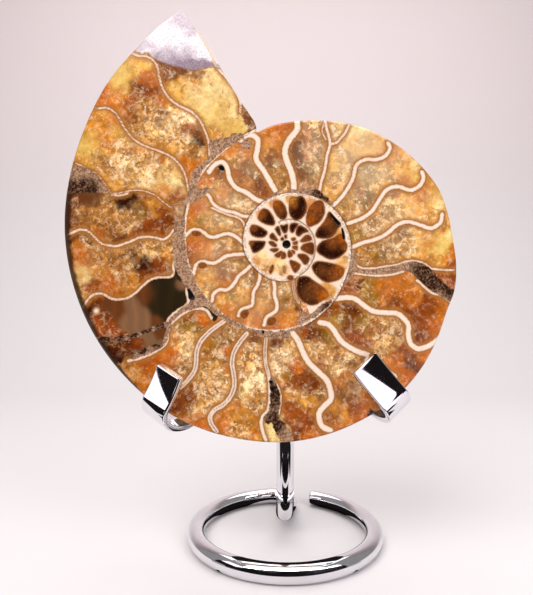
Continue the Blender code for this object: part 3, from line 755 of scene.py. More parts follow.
def add_face(shell):
    """The cut face; gives back its edge, the edge behind the bevel and the line of the lip."""
    rows, notch = face_rows()
    columns = np.arange(COLUMNS + 1)
    headings = APERTURE_HEADING + columns * TURN / COLUMNS
    outline = venter(headings)
    inset = outline - chamfer(columns)
    index, top = {}, []
    for column in columns:
        reach = -1
        for row, (radius, step) in enumerate(rows):
            if column % step:
                continue
            if column == COLUMNS:
                if row < notch:
                    index[row, column] = index[row, 0]
                    reach = row
                continue
            if radius < inset[column] - RIM_KEEP or (column == 0 and row <= notch):
                lean = LIP_BEVEL_DEGREES * lip_share(radius) if column == 0 else 0
                index[row, column] = shell.add((headings[column] + lean, radius, 0))
                reach = row
        top.append(reach)
    lean = LIP_BEVEL_DEGREES
    edge = [shell.add((headings[0] + lean, inset[0], 0))]
    edge += [shell.add((headings[c], inset[c], 0)) for c in columns[1:-1]] + [index[notch, 0]]
    rim = [shell.add((headings[c], outline[c], chamfer(c))) for c in columns[:-1]]
    rim.append(index[notch, 0])
    centre = shell.add((APERTURE_HEADING, 0, 0))
    for column in range(0, COLUMNS, rows[0][1]):
        shell.face(centre, index[0, column], index[0, column + rows[0][1]])
    for row, (radius, step) in enumerate(rows[:-1]):
        finer = rows[row + 1][1]
        for column in range(0, COLUMNS, step):
            a, b = index.get((row, column)), index.get((row, column + step))
            c, d = index.get((row + 1, column)), index.get((row + 1, column + step))
            if None in (a, b, c, d):
                continue
            if finer < step:
                middle = index[row + 1, column + finer]
                shell.face(a, c, middle)
                shell.face(a, middle, b)
                shell.face(b, middle, d)
            else:
                shell.face(a, c, d, b)
    for column in range(COLUMNS):
        shared = min(top[column], top[column + 1])
        left = [index[row, column] for row in range(shared, top[column] + 1)] + [edge[column]]
        right = [index[row, column + 1] for row in range(shared, top[column + 1] + 1)]
        shell.zip(left, right + [edge[column + 1]])
        shell.face(edge[column], edge[column + 1], rim[column + 1], rim[column])
    # The bevel along the lip.
    flat = [index[row, 0] for row in range(notch, top[0] + 1)] + [edge[0]]
    lip = [flat[0]]
    for vertex in flat[1:]:
        radius = shell.points[vertex][1]
        lip.append(shell.add((APERTURE_HEADING, radius, LIP_BEVEL_HEIGHT * lip_share(radius))))
    for i in range(len(flat) - 1):
        shell.face(flat[i], flat[i + 1], lip[i + 1], lip[i])
    shell.face(edge[0], rim[0], lip[-1])
    return rim, lip


def add_back(shell, rim, lip):
    """The domed back, the wall across the aperture and the bottom of the navel."""
    count = COLUMNS // BACK_STEP
    headings = APERTURE_HEADING + np.arange(2 * count + 1) * TURN / count
    shares = embrace(headings)
    covered = len(COVERED_SHARES) - 1
    columns = []
    for number, (heading, share) in enumerate(zip(headings, shares)):
        line = []
        for part in COVERED_SHARES:
            if part == 1.0 and number >= count:
                vertex = columns[number - count][0]
                shell.points[vertex] = tuple(section(heading, share))
                line.append(vertex)
            else:
                line.append(shell.add(section(heading, share * part)))
        if number <= count:
            for part in OPEN_SHARES:
                line.append(shell.add(section(heading, share + (1 - share) * part)))
            line.append(rim[number * BACK_STEP])
        columns.append(line)
    for number in range(2 * count):
        left, right = columns[number], columns[number + 1]
        rows = min(len(left), len(right))
        last = rows - 2 if number < count else rows - 1
        for row in range(last):
            shell.face(left[row], right[row], right[row + 1], left[row + 1])
        if number < count:
            a, b = left[-2], right[-2]
            start = number * BACK_STEP
            shell.face(a, rim[start + 1], rim[start])
            shell.face(a, b, rim[start + 1])
            shell.face(b, rim[start + 2], rim[start + 1])
    navel_floor = NAVEL_DEPTH * HALF_WIDTH * venter(headings[-1])
    loop = [line[0] for line in columns[count:]] + columns[-1][1:covered + 1]
    spread, towards = NAVEL_POINT
    centre = shell.add((towards, spread, navel_floor))
    rings = [loop]
    for share in NAVEL_SHARES:
        ring = []
        for vertex in loop:
            heading, radius, height = shell.points[vertex]
            radius = radius * (1 - share) + spread * share * NAVEL_PULL
            ring.append(shell.add((heading, radius, height + (navel_floor - height) * share)))
        rings.append(ring)
    for outer, inner in zip(rings, rings[1:]):
        for i in range(len(loop) - 1):
            shell.face(outer[i], outer[i + 1], inner[i + 1], inner[i])
    for i in range(len(loop) - 1):
        shell.face(rings[-1][i], rings[-1][i + 1], centre)
    # The wall across the aperture, rough where the shell was filled.
    upper = columns[0]
    lower = columns[count][covered:] + lip[1:] + [rim[0]]
    radii = np.linspace(shell.points[upper[0]][1] + 0.8, shell.points[rim[0]][1] - 0.9, WALL_COLUMNS)
    heights = []
    for line in (lower, upper):
        known = sorted((shell.points[v][1], shell.points[v][2]) for v in line)
        heights.append(np.interp(radii, *np.array(known).T))
    draws = np.random.default_rng(WALL_SEED)
    waves = [(draws.uniform(0.15, 1.6, 2), draws.uniform(0, 6.28)) for _ in range(WALL_WAVES)]
    rows = [lower]
    for number in range(1, WALL_ROWS):
        share = number / WALL_ROWS
        row = []
        for radius, low, high in zip(radii, *heights):
            height = low + share * (high - low)
            rough = sum(math.sin(radius * k[0] + height * k[1] + phase) for k, phase in waves)
            edge = min(1, 4 * share, 4 * (1 - share), (radii[-1] - radius) / 3)
            depth = max(0.0, edge) * (WALL_HOLLOW + WALL_ROUGHNESS * rough)
            heading = APERTURE_HEADING + math.degrees(max(depth, 0) / radius)
            row.append(shell.add((heading, radius, height)))
        rows.append(row)
    rows.append(upper)
    shell.zip(rows[1], rows[0])
    shell.zip(rows[-1], rows[-2])
    for below, above in zip(rows[1:-1], rows[2:-1]):
        for i in range(WALL_COLUMNS - 1):
            shell.face(below[i], below[i + 1], above[i + 1], above[i])
        shell.face(upper[0], below[0], above[0])
        shell.face(rim[0], above[-1], below[-1])
    shell_part = {v for line in columns for v in line}
    rough_part = {v for row in rows[1:-1] for v in row}
    mud_part = {v for ring in rings[1:] for v in ring} | {centre}
    return shell_part, rough_part, mud_part


def unit_step(value, low, high):
    t = np.clip((value - low) / (high - low), 0, 1)
    return t * t * (3 - 2 * t)


def coil_wall(points):
    """Distance in pixels to the wall between the turns, positive outside it."""
    heading, radius = total_heading(points)
    best = np.full(len(points), FAR)
    for turn in (-1, 0, 1):
        along = heading + turn * TURN
        known = (along > APERTURE_HEADING + TURN - TURN_OVERLAP) & (along < VENTER[-1, 0])
        gap = (radius - venter(along)) / PIXEL_MM
        best = np.where(known & (abs(gap) < abs(best)), gap, best)
    return best


def ragged(points):
    """Face points shifted unevenly by some pixels, so that the colours meet in ragged lines."""
    noise.seed_set(RAGGED_SEED)
    moved = points.copy()
    for i, (x, y) in enumerate(points):
        for size, amount, layer in RAGGED:
            shift = noise.noise_vector((x / size, y / size, layer))
            moved[i] += (amount * shift.x, amount * shift.y)
    return moved


def face_fields(points):
    """Everything painted on the face: distances in pixels and stone colours at each point."""
    lines = []
    for half, line in SEPTA.values():
        line = smooth_line(line)
        start, end = total_heading(line[[0, -1]])[1]
        lines.append((half, line if start > end else line[::-1]))
    wall, chamber = chambers(points, lines)
    spots = spot_list(SPOTS)
    spot_chamber = chambers(np.array([spot[1:3] for spot in spots], float), lines)[1]
    glassy = nearest_outline(points, (GLASSY,))
    uneven = np.where(glassy[:, None] < 0, points, ragged(points))
    stone = stone_colours(uneven, spots, chamber, spot_chamber)
    inner = total_heading(points)[0] > INNER_COIL_HEADING
    stone[inner] = stone_colours(points[inner], spot_list(INNER_SPOTS))
    crystal = nearest_outline(points, (CRYSTAL,), smooth=False)
    stone[crystal < 0] = CRYSTAL_STONE
    wall = np.minimum(wall, abs(crystal + CRYSTAL_EDGE) - 0.5 * CRYSTAL_EDGE)
    for half, line in THREADS:
        wall = np.minimum(wall, line_distance(points, smooth_line(line))[0] - half)
    seam = np.full(len(points), UNMARKED)
    for line in SEAMS:
        seam = np.minimum(seam, line_distance(points, smooth_line(line))[0])
    tone = np.zeros(len(points))
    for mark, (*_, amount) in zip(marks(points, [spot[:3] for spot in TONES]), TONES):
        tone += amount * mark
    hub = np.hypot(*(points - HUB[:2]).T) - HUB[2]
    return {
        "wall": wall,
        "coil": coil_wall(points),
        "seam": seam,
        "soot": np.max(list(marks(points, DARK_ROCK)), axis=0),
        "rim": line_distance(points, smooth_line(RIM))[0],
        "rock": np.maximum(nearest_outline(points, ROCK), -crystal - CRYSTAL_MARGIN),
        "cell": nearest_outline(points, CELLS),
        "shaded_hole": np.minimum(nearest_outline(points, HOLES), hub),
        "glassy": glassy,
        "tone": tone,
        "stone": stone,
        "cell_stone": stone_colours(points, spot_list(CELL_SPOTS)),
    }


def linked(name, data):
    made = bpy.data.objects.new(name, data)
    bpy.context.scene.collection.objects.link(made)
    return made


def solid_piece(name, points, faces, sharp_degrees):
    """Object with its faces outward, smooth but for its sharp edges."""
    mesh = bpy.data.meshes.new(name)
    mesh.from_pydata(points, [], faces)
    bm = bmesh.new()
    bm.from_mesh(mesh)
    bmesh.ops.recalc_face_normals(bm, faces=bm.faces)
    bm.to_mesh(mesh)
    bm.free()
    mesh.shade_smooth()
    mesh.set_sharp_from_angle(angle=math.radians(sharp_degrees))
    return linked(name, mesh)


def add_field(mesh, name, values):
    colour = values.ndim == 2 and values.shape[1] == 4
    layer = mesh.attributes.new(name, "FLOAT_COLOR" if colour else "FLOAT", "POINT")
    layer.data.foreach_set("color" if colour else "value", values.astype(np.float32).ravel())


def build_ammonite():
    shell = ShellMesh()
    rim, lip = add_face(shell)
    face_count = len(shell.points)
    shell_part, rough_part, mud_part = add_back(shell, rim, lip)
    points = np.array(shell.points)
    design = shell_points(points[:, 0], points[:, 1], points[:, 2])
    fields = face_fields(to_pixels(design)[:face_count])
    sink = HOLE_DEPTH * unit_step(-fields["shaded_hole"], -0.2, 1.6)
    sink += ROCK_DEPTH * unit_step(-fields["rock"], -0.4, 1.4)
    design[:face_count, 1] += np.where(points[:face_count, 2] == 0, sink, 0)
    row = np.clip(to_row(design), np.array(fossil_low), np.array(fossil_high))
    piece = solid_piece("polished_half", row.tolist(), shell.faces, 30)
    for name, values in fields.items():
        values = values.reshape(face_count, -1)
        full = np.tile(np.array(BACK_VALUES.get(name, UNMARKED), float), (len(points), 1))
        full[:face_count] = values
        add_field(piece.data, name, full)
    edge_of_back = set(rim) | set(lip)
    for name, part in (("back", shell_part | rough_part | mud_part), ("raw", rough_part | mud_part)):
        zone = np.zeros(len(points))
        zone[sorted(part - edge_of_back)] = 1
        add_field(piece.data, name, zone)
    triangles = sum(len(corners) - 2 for corners in shell.faces)
    print("ammonite mesh", len(points), "points", triangles, "triangles")
    return piece


class Paint:
    """Builds a node material step by step."""

    def __init__(self, name):
        self.material = bpy.data.materials.new(name)
        self.material.use_nodes = True
        self.tree = self.material.node_tree
        self.shader = self.tree.nodes["Principled BSDF"]

    def node(self, kind, inputs=None, **settings):
        made = self.tree.nodes.new(kind)
        for key, value in settings.items():
            setattr(made, key, value)
        for key, value in (inputs or {}).items():
            if isinstance(value, bpy.types.NodeSocket):
                self.tree.links.new(value, made.inputs[key])
            else:
                made.inputs[key].default_value = value
        return made

    def field(self, name, output="Fac"):
        return self.node("ShaderNodeAttribute", attribute_name=name).outputs[output]

    def place(self, scale=1.0):
        """Coordinates in millimetres."""
        where = self.node("ShaderNodeTexCoord").outputs["Object"]
        factor = scale / MM
        inputs = {"Vector": where, "Scale": (factor, factor, factor)}
        return self.node("ShaderNodeMapping", inputs).outputs[0]

    def calc(self, operation, a, b=0.0, c=0.0):
        return self.node("ShaderNodeMath", {0: a, 1: b, 2: c}, operation=operation).outputs[0]

    def times(self, first, *factors):
        for factor in factors:
            first = self.calc("MULTIPLY", first, factor)
        return first

    def waver(self, value, ripple, amount):
        """The value shifted by a ripple of noise."""
        return self.calc("MULTIPLY_ADD", ripple, amount, value)

    def ease(self, value, low, high, start=0.0, end=1.0):
        """Smooth step from one value to another as the input runs from low to high."""
        swap = low > high
        inputs = {"Value": value, "From Min": min(low, high), "From Max": max(low, high),
                  "To Min": end if swap else start, "To Max": start if swap else end}
        return self.node("ShaderNodeMapRange", inputs, interpolation_type="SMOOTHSTEP").outputs[0]

    def mix(self, factor, a, b, blend="MIX"):
        made = self.node("ShaderNodeMix", {0: factor}, data_type="RGBA", blend_type=blend)
        for key, value in ((6, a), (7, b)):
            if isinstance(value, str):
                value = HUE[value]
            if isinstance(value, bpy.types.NodeSocket):
                self.tree.links.new(value, made.inputs[key])
            else:
                made.inputs[key].default_value = (*value, 1)[:4]
        return made.outputs[2]

    def tint(self, colour, shade):
        return self.mix(1.0, colour, shade, "MULTIPLY")

    def noise(self, place, scale, detail=3.0, roughness=0.55, distortion=0.0):
        inputs = {"Vector": place, "Scale": scale, "Detail": detail, "Roughness": roughness,
                  "Distortion": distortion}
        return self.node("ShaderNodeTexNoise", inputs).outputs["Fac"]

    def set(self, key, value):
        if isinstance(value, bpy.types.NodeSocket):
            self.tree.links.new(value, self.shader.inputs[key])
        else:
            self.shader.inputs[key].default_value = value

    def bump(self, height, strength, distance):
        made = self.node("ShaderNodeBump", {"Height": height, "Strength": strength, "Distance": distance})
        self.set("Normal", made.outputs[0])


# Linear colours of the finer detail; those that end in shade multiply what lies beneath them.
HUE = {
    "honey_shade": (0.70, 0.46, 0.22), "soiled_shade": (0.62, 0.48, 0.34),
    "frosted_shade": (0.45, 0.40, 0.42), "band_shade": (1.6, 1.5, 1.4),
    "warm_shade": (1.12, 1.0, 0.84), "dark_shade": (0.44, 0.24, 0.08),
    "gap": (0.22, 0.09, 0.025), "shine": (0.93, 0.84, 0.66), "sparkle": (0.95, 0.90, 0.80),
    "seeped": (0.22, 0.085, 0.02), "bleached": (0.95, 0.80, 0.50),
    "halo": (0.38, 0.15, 0.03), "outline": (0.16, 0.055, 0.013),
    "septum_edge": (0.56, 0.31, 0.17), "septum": (0.83, 0.66, 0.53),
    "septum_light": (0.92, 0.84, 0.77), "septum_stain": (0.55, 0.34, 0.20),
    "seam": (0.20, 0.08, 0.03), "dark_rim": (0.032, 0.014, 0.007),
    "turn_dark": (0.48, 0.31, 0.20), "turn_light": (0.90, 0.79, 0.68), "turn_seam": (0.13, 0.05, 0.02),
    "rock": (0.17, 0.083, 0.047), "rock_grain": (0.44, 0.265, 0.16),
    "rock_fleck": (0.66, 0.49, 0.35), "rock_stain": (0.24, 0.11, 0.055),
    "soot": (0.022, 0.010, 0.006), "soot_grain": (0.22, 0.11, 0.06),
    "cell_speck": (0.028, 0.012, 0.006), "cell_fleck": (0.62, 0.42, 0.24),
    # The near-black of the open holes is painted shade.
    "cell_edge": (0.20, 0.07, 0.02), "cell_outline": (0.42, 0.19, 0.08), "shaded_hole": (0.008, 0.007, 0.007),
    "shell": (0.17, 0.09, 0.045), "shell_worn": (0.42, 0.27, 0.15),
    "shell_pale": (0.58, 0.46, 0.33), "shell_pit": (0.05, 0.03, 0.02),
    "mud": (0.13, 0.10, 0.085), "mud_grain": (0.36, 0.31, 0.28), "mud_stain": (0.45, 0.30, 0.20),
}
# The three sizes of crystal facets: scale, colour channel, share, darkest and lightest shade.
FACETS = (
    (0.28, 0, 0.9, (0.56, 0.45, 0.32), (1.3, 1.28, 1.22)),
    (0.7, 1, 0.9, (0.42, 0.31, 0.19), (1.5, 1.47, 1.38)),
    (1.5, 2, 0.4, (0.60, 0.52, 0.42), (1.25, 1.25, 1.25)),
)
# The height in mm over which the stone of the tip turns frosted.
FROST_START, FROST_END = 140.0, 150.0


class StonePaint(Paint):
    """The fossil's material, with the noise that its layers share."""

    def __init__(self):
        super().__init__("polished_ammonite")
        mm = self.mm = self.place()
        self.fine = self.noise(mm, 2.2, 4, 0.65)
        self.speck = self.noise(mm, 1.5, 4, 0.75)
        self.broad = self.noise(mm, 0.2, 4, 0.6, 0.6)
        self.blots = self.noise(mm, 0.4, 5, 0.65, 1.0)
        self.ripple = self.calc("SUBTRACT", self.noise(mm, 1.5, 3, 0.6), 0.5)
        self.tear = self.calc("SUBTRACT", self.noise(mm, 0.55, 4, 0.65), 0.5)
        stone = self.node("ShaderNodeAttribute", attribute_name="stone")
        self.stone, self.grain = stone.outputs["Color"], stone.outputs["Alpha"]
        self.grown = self.ease(self.grain, 0.0, 0.14)
        self.glassy = self.ease(self.field("glassy"), 1.0, -1.5)
        rock = self.waver(self.field("rock"), self.tear, 5.0)
        self.rock_edge = self.waver(rock, self.ripple, 2.0)

    def facets(self):
        """Random value of each crystal, from coarse to fine."""
        drift = self.node("ShaderNodeTexNoise", {"Vector": self.mm, "Scale": 0.5, "Detail": 4.0})
        scaled = {0: drift.outputs["Color"], "Scale": 3.2}
        drift = self.node("ShaderNodeVectorMath", scaled, operation="SCALE").outputs[0]
        bent = self.node("ShaderNodeVectorMath", {0: self.mm, 1: drift}, operation="ADD").outputs[0]
        values = []
        for scale, channel, *_ in FACETS:
            crystals = self.node("ShaderNodeTexVoronoi", {"Vector": bent, "Scale": scale})
            parts = self.node("ShaderNodeSeparateColor", {0: crystals.outputs["Color"]})
            values.append(parts.outputs[channel])
        return values


def calcite(p):
    """Faceted pale crystals over honey, brown in the gaps, rust that has seeped in."""
    veins = p.noise(p.mm, 0.6, 6, 0.66, 1.4)
    feathers = p.noise(p.mm, 0.55, 5, 0.62, 0.8)
    facets = p.facets()
    deep_honey = p.times(p.ease(p.broad, 0.40, 0.62), p.times(p.grown, 0.55))
    body = p.mix(deep_honey, p.stone, p.tint(p.stone, "honey_shade"))
    for facet, (_, _, share, low, high) in zip(facets, FACETS):
        grainy = p.calc("MULTIPLY_ADD", p.grain, 0.9, 0.05)
        lit = p.tint(body, p.mix(facet, low, high))
        body = p.mix(p.times(grainy, p.times(p.grown, share)), body, lit)
    gaps = p.times(p.ease(veins, 0.49, 0.37), p.calc("MULTIPLY_ADD", p.grain, 0.75, 0.08))
    body = p.mix(p.times(gaps, p.grown), body, "gap")
    lustre = p.times(p.grain, p.ease(facets[0], 0.1, 0.8, 0.3))
    body = p.mix(p.times(p.ease(feathers, 0.48, 0.62), lustre, 0.7), body, "shine")
    body = p.mix(p.times(p.ease(facets[2], 0.90, 0.97), p.times(p.grain, 0.6)), body, "sparkle")
    rough_zone = p.calc("SUBTRACT", 1.0, p.glassy)
    body = p.mix(p.times(p.ease(p.blots, 0.56, 0.70), p.times(rough_zone, 0.7), p.grown), body, "seeped")
    soiled = p.times(p.ease(p.fine, 0.3, 0.7), p.calc("MULTIPLY_ADD", p.grain, 0.4, 0.1))
    body = p.mix(soiled, body, p.tint(body, "soiled_shade"))
    height = p.node("ShaderNodeSeparateXYZ", {0: p.mm}).outputs[2]
    frosted = p.times(p.calc("SUBTRACT", 1.0, p.grown), p.ease(height, FROST_START, FROST_END))
    granular = p.times(frosted, p.ease(p.fine, 0.40, 0.62, 0.0, 0.5))
    body = p.mix(granular, body, p.tint(body, "frosted_shade"))
    waves = {"Vector": p.mm, "Scale": 0.09, "Distortion": 6.0, "Detail": 3.0}
    bands = p.node("ShaderNodeTexWave", waves).outputs["Fac"]
    banded = p.times(p.glassy, p.ease(bands, 0.3, 0.9, 0.0, 0.3))
    body = p.mix(banded, body, p.tint(body, "band_shade"))
    body = p.mix(p.grown, body, p.tint(body, "warm_shade"))
    tone = p.times(p.field("tone"), p.grown)
    body = p.mix(p.calc("MAXIMUM", p.times(tone, -1.0), 0.0), body, p.tint(body, "dark_shade"))
    return p.mix(p.calc("MAXIMUM", tone, 0.0), body, "bleached")


def chamber_walls(p, body):
    """Brown halo and pale walls of the chambers, the near-black outer rim and the wall between the turns.
    """
    wall = p.field("wall")
    halo = p.times(p.ease(p.waver(wall, p.ripple, 5.0), 5.0, 0.6), p.grown)
    body = p.mix(p.times(halo, 0.8), body, "halo")
    outline = p.ease(p.waver(wall, p.ripple, 1.4), 1.5, 0.5)
    body = p.mix(p.times(outline, p.times(p.grown, 0.5)), body, "outline")
    wall_edge = p.waver(wall, p.ripple, 1.8)
    pale = p.mix(p.ease(wall_edge, 0.3, -1.6), "septum_edge", "septum")
    pale = p.mix(p.ease(p.fine, 0.45, 0.75, 0.0, 0.4), pale, "septum_light")
    pale = p.mix(p.ease(p.blots, 0.52, 0.75, 0.0, 0.45), pale, "septum_stain")
    body = p.mix(p.ease(wall_edge, 0.5, -0.45), body, pale)
    seam = p.ease(p.waver(p.field("seam"), p.ripple, 1.6), 1.2, 0.4)
    body = p.mix(p.times(seam, p.ease(p.broad, 0.35, 0.5, 0.25, 0.7)), body, "seam")
    dark_rim = p.ease(p.waver(p.field("rim"), p.tear, 6.0), 6.0, 2.0, 0.0, 0.93)
    body = p.mix(dark_rim, body, "dark_rim")
    turn_wall = p.mix(p.ease(p.fine, 0.35, 0.65), "turn_dark", "turn_light")
    coil = p.waver(p.field("coil"), p.ripple, 2.0)
    beside = p.calc("ABSOLUTE", p.calc("SUBTRACT", coil, 2.1))
    body = p.mix(p.ease(beside, 1.3, 0.3, 0.0, 0.7), body, "turn_seam")
    return p.mix(p.ease(p.calc("ABSOLUTE", coil), 1.6, 0.8), body, turn_wall)


def seam_rock(p, body):
    """Taupe grains, dark and light, nearly black in places, ragged at their edges."""
    dirt = p.mix(p.ease(p.speck, 0.40, 0.60), "rock", "rock_grain")
    dirt = p.mix(p.ease(p.noise(p.mm, 2.1, 3, 0.7), 0.58, 0.68), dirt, "rock_fleck")
    dirt = p.mix(p.ease(p.blots, 0.55, 0.7, 0.0, 0.6), dirt, "rock_stain")
    black = p.mix(p.ease(p.speck, 0.46, 0.66), "soot", "soot_grain")
    dirt = p.mix(p.ease(p.field("soot"), 0.2, 0.75), dirt, black)
    return p.mix(p.ease(p.rock_edge, 0.8, -0.5), body, dirt)


def inner_cells(p, body):
    """Dark chambers of the inner coil, and the open holes near-black with painted shade."""
    cell = p.field("cell")
    filling = p.field("cell_stone", "Color")
    deep = p.mix(p.ease(p.speck, 0.40, 0.62, 0.0, 0.6), filling, "cell_speck")
    deep = p.mix(p.ease(p.noise(p.mm, 1.8, 3, 0.65), 0.62, 0.72, 0.0, 0.75), deep, "cell_fleck")
    deep = p.mix(p.ease(cell, -1.8, -0.2, 0.0, 0.5), deep, "cell_edge")
    cell_edge = p.waver(cell, p.ripple, 1.4)
    body = p.mix(p.ease(cell_edge, 2.2, 0.8, 0.0, 0.6), body, "cell_outline")
    body = p.mix(p.ease(cell_edge, 0.85, 0.15), body, deep)
    # Painted shade: the open holes near-black, though the mesh sinks them only a little.
    return p.mix(p.ease(p.field("shaded_hole"), 0.5, -0.4), body, "shaded_hole")


def unseen_back(p):
    """Worn brown shell, and rock in the navel and across the aperture."""
    worn = p.mix(p.ease(p.noise(p.mm, 0.16, 5, 0.6, 0.5), 0.35, 0.65), "shell", "shell_worn")
    worn = p.mix(p.ease(p.noise(p.mm, 0.5, 4, 0.6), 0.55, 0.7, 0.0, 0.7), worn, "shell_pale")
    worn = p.mix(p.ease(p.noise(p.mm, 0.9, 4, 0.7), 0.6, 0.7, 0.0, 0.8), worn, "shell_pit")
    gritty = p.mix(p.ease(p.speck, 0.3, 0.7), "mud", "mud_grain")
    gritty = p.mix(p.ease(p.noise(p.mm, 0.6, 4, 0.6), 0.5, 0.7, 0.0, 0.6), gritty, "mud_stain")
    return p.mix(p.field("raw"), worn, gritty)


def stone_material():
    p = StonePaint()
    face = inner_cells(p, seam_rock(p, chamber_walls(p, calcite(p))))
    back = p.ease(p.field("back"), 0.05, 0.6)
    p.set("Base Color", p.mix(back, face, unseen_back(p)))
    rough = p.calc("MULTIPLY_ADD", p.ease(p.field("rock"), 0.5, -0.5), 0.4, 0.12)
    rough = p.waver(rough, p.fine, 0.07)
    p.set("Roughness", p.calc("MAXIMUM", rough, p.times(back, 0.62)))
    p.set("Specular IOR Level", p.ease(p.rock_edge, 0.5, -0.5, 0.16, 0.0))
    ridged = p.calc("MULTIPLY_ADD", back, p.times(p.speck, 1.2), p.times(p.fine, 0.05))
    p.bump(ridged, 0.5, 0.0003)
    return p.material


def chrome_material():
    p = Paint("bright_chrome")
    mm = p.place()
    smudge = p.noise(mm, 0.08, 3, 0.5)
    p.set("Base Color", p.mix(p.ease(smudge, 0.4, 0.7), (0.80, 0.79, 0.82), (0.74, 0.73, 0.76)))
    p.set("Metallic", 1.0)
    p.set("Roughness", p.ease(smudge, 0.35, 0.75, 0.035, 0.075))
    p.bump(p.noise(mm, 0.5, 2, 0.5), 0.05, 0.00002)
    return p.material


def sweep(name, stations):
    """Solid through stations, each a closed line of corners, capped at both ends."""
    size = len(stations[0])
    verts = [corner for station in stations for corner in station]
    faces = []
    for s in range(len(stations) - 1):
        for i in range(size):
            j = (i + 1) % size
            faces.append((s * size + i, s * size + j, (s + 1) * size + j, (s + 1) * size + i))
    faces.append(tuple(range(size)))
    faces.append(tuple(range((len(stations) - 1) * size, len(stations) * size)))
    return solid_piece(name, [tuple(v * MM + ORIGIN) for v in verts], faces, 50)


# The rod, in millimetres, as in the solid.
RING_START = 22.0
BEND_RADIUS = 7.0
BEND_START = -10.0
RUN_RISE = 5.3
ELBOW_RADIUS = 8.0
ELBOW_Y = -5.6
STEM_TOP = Vector((0.0, -9.4, 92.0))
ROD_SIDES = 48
RING_STEPS, BEND_STEPS, RUN_STEPS, ELBOW_STEPS, STEM_STEPS = 220, 32, 20, 24, 8
END_BEVEL = 0.4


def arc(centre, radius, start, end, steps):
    angles = np.radians(np.linspace(start, end, steps + 1))
    return [centre + Vector((radius * math.sin(a), radius * math.cos(a), ROD_RADIUS)) for a in angles]


def rod_path():
    ring = arc(Vector(), RING_RADIUS, RING_START, TURN + BEND_START, RING_STEPS)
    inset = math.radians(BEND_START)
    bend_centre = Vector((math.sin(inset), math.cos(inset), 0)) * (RING_RADIUS - BEND_RADIUS)
    bend = arc(bend_centre, BEND_RADIUS, BEND_START, 90.0, BEND_STEPS)
    lean = math.atan2(ELBOW_Y - STEM_TOP.y, STEM_TOP.z)
    elbow_low = Vector((0, ELBOW_Y + ELBOW_RADIUS, ROD_RADIUS + RUN_RISE))
    start = bend[-1]
    run = []
    for i in range(1, RUN_STEPS + 1):
        t = i / RUN_STEPS
        point = start.lerp(elbow_low, t)
        point.z = start.z + (elbow_low.z - start.z) * t * t * (3 - 2 * t)
        run.append(point)
    elbow = []
    for i in range(1, ELBOW_STEPS + 1):
        angle = (0.5 * math.pi - lean) * i / ELBOW_STEPS
        elbow.append(elbow_low + ELBOW_RADIUS * Vector((0, -math.sin(angle), 1 - math.cos(angle))))
    stem = [elbow[-1].lerp(STEM_TOP, i / STEM_STEPS) for i in range(1, STEM_STEPS + 1)]
    return ring + bend[1:] + run + elbow + stem


def build_rod():
    path = rod_path()
    up = Vector((0, 0, 1))
    stations = []
    for number, point in enumerate(path):
        before, after = path[max(number - 1, 0)], path[min(number + 1, len(path) - 1)]
        along = (after - before).normalized()
        up = (up - along * up.dot(along)).normalized()
        side = along.cross(up)
        angles = [2 * math.pi * i / ROD_SIDES for i in range(ROD_SIDES)]
        spokes = [up * math.cos(a) + side * math.sin(a) for a in angles]
        inward = {0: along, len(path) - 1: -along}.get(number)
        full = [point + spoke * ROD_RADIUS for spoke in spokes]
        if inward is None:
            stations.append(full)
            continue
        end = [point + spoke * (ROD_RADIUS - END_BEVEL) for spoke in spokes]
        start = [corner + inward * END_BEVEL for corner in full]
        stations += [end, start] if number == 0 else [start, end]
    return sweep("chrome_rod", stations)


# The strip, in millimetres, as in the solid.
STRIP_WIDTH = 9.4
STRIP_THICKNESS = 2.0
STRIP_ROUND = 0.6
APEX = Vector((0.0, -13.7, 87.0))
LEG_STEPS = 16
FIRST_LEG_STEP = 5
HOOK_STEPS = 64
LIP_STEPS = 20
# Size and shift along the strip of its last sections, which break the edge of the lip.
LIP_END = ((1.0, -0.35), (0.93, 0.0))
LEFT_HOOK = {
    "front": Vector((-37.9, -34.43, 54.2)), "heading": 241.0, "turn": 26.0, "side": 1,
    "opening": 22.4, "drop": 6.3, "lip": 10.0, "flare": 1.8,
}
RIGHT_HOOK = {
    "front": Vector((30.2, -33.2, 55.3)), "heading": 311.5, "turn": 12.0, "side": -1,
    "opening": 19.6, "drop": 5.9, "lip": 13.6, "flare": 1.8,
}


def hook_axes(hook):
    """Down along the hook, across its strip, and from its front to its back."""
    heading, turn = math.radians(hook["heading"]), math.radians(hook["turn"])
    down = Vector((math.cos(heading), 0, math.sin(heading)))
    level = Vector((-math.sin(heading), 0, math.cos(heading))) * hook["side"]
    back = Vector((0, 1, 0))
    across = level * math.cos(turn) - back * math.sin(turn)
    return down, across, back * math.cos(turn) + level * math.sin(turn)


def leg_end(hook):
    return hook["front"] + hook_axes(hook)[2] * hook["opening"]


def leg_heading(hook):
    run = leg_end(hook) - APEX
    return math.degrees(math.atan2(run.z, run.x)) % TURN


def strip_line(hook):
    """(centre, direction across the strip) down one leg, round the hook and up its lip."""
    down, across, back = hook_axes(hook)
    end, heading = leg_end(hook), math.radians(leg_heading(hook))
    level = Vector((-math.sin(heading), 0, math.cos(heading))) * hook["side"]
    line = []
    for i in range(FIRST_LEG_STEP, LEG_STEPS):
        share = i / LEG_STEPS
        late = max(share - 0.5, 0.0) / 0.5
        ease = late * late * (3 - 2 * late)
        centre = APEX.lerp(end, share)
        centre.y = APEX.y + (end.y - APEX.y) * ease
        line.append((centre, level.lerp(across, ease)))
    for i in range(HOOK_STEPS + 1):
        angle = math.pi * i / HOOK_STEPS
        depth = 0.5 * hook["opening"] * (1 + math.cos(angle))
        line.append((hook["front"] + back * depth + down * (hook["drop"] * math.sin(angle)), across))
    for i in range(1, LIP_STEPS + 1):
        share = i / LIP_STEPS
        lip = down * (hook["lip"] * share) + back * (hook["flare"] * share**2)
        line.append((hook["front"] - lip, across))
    return line


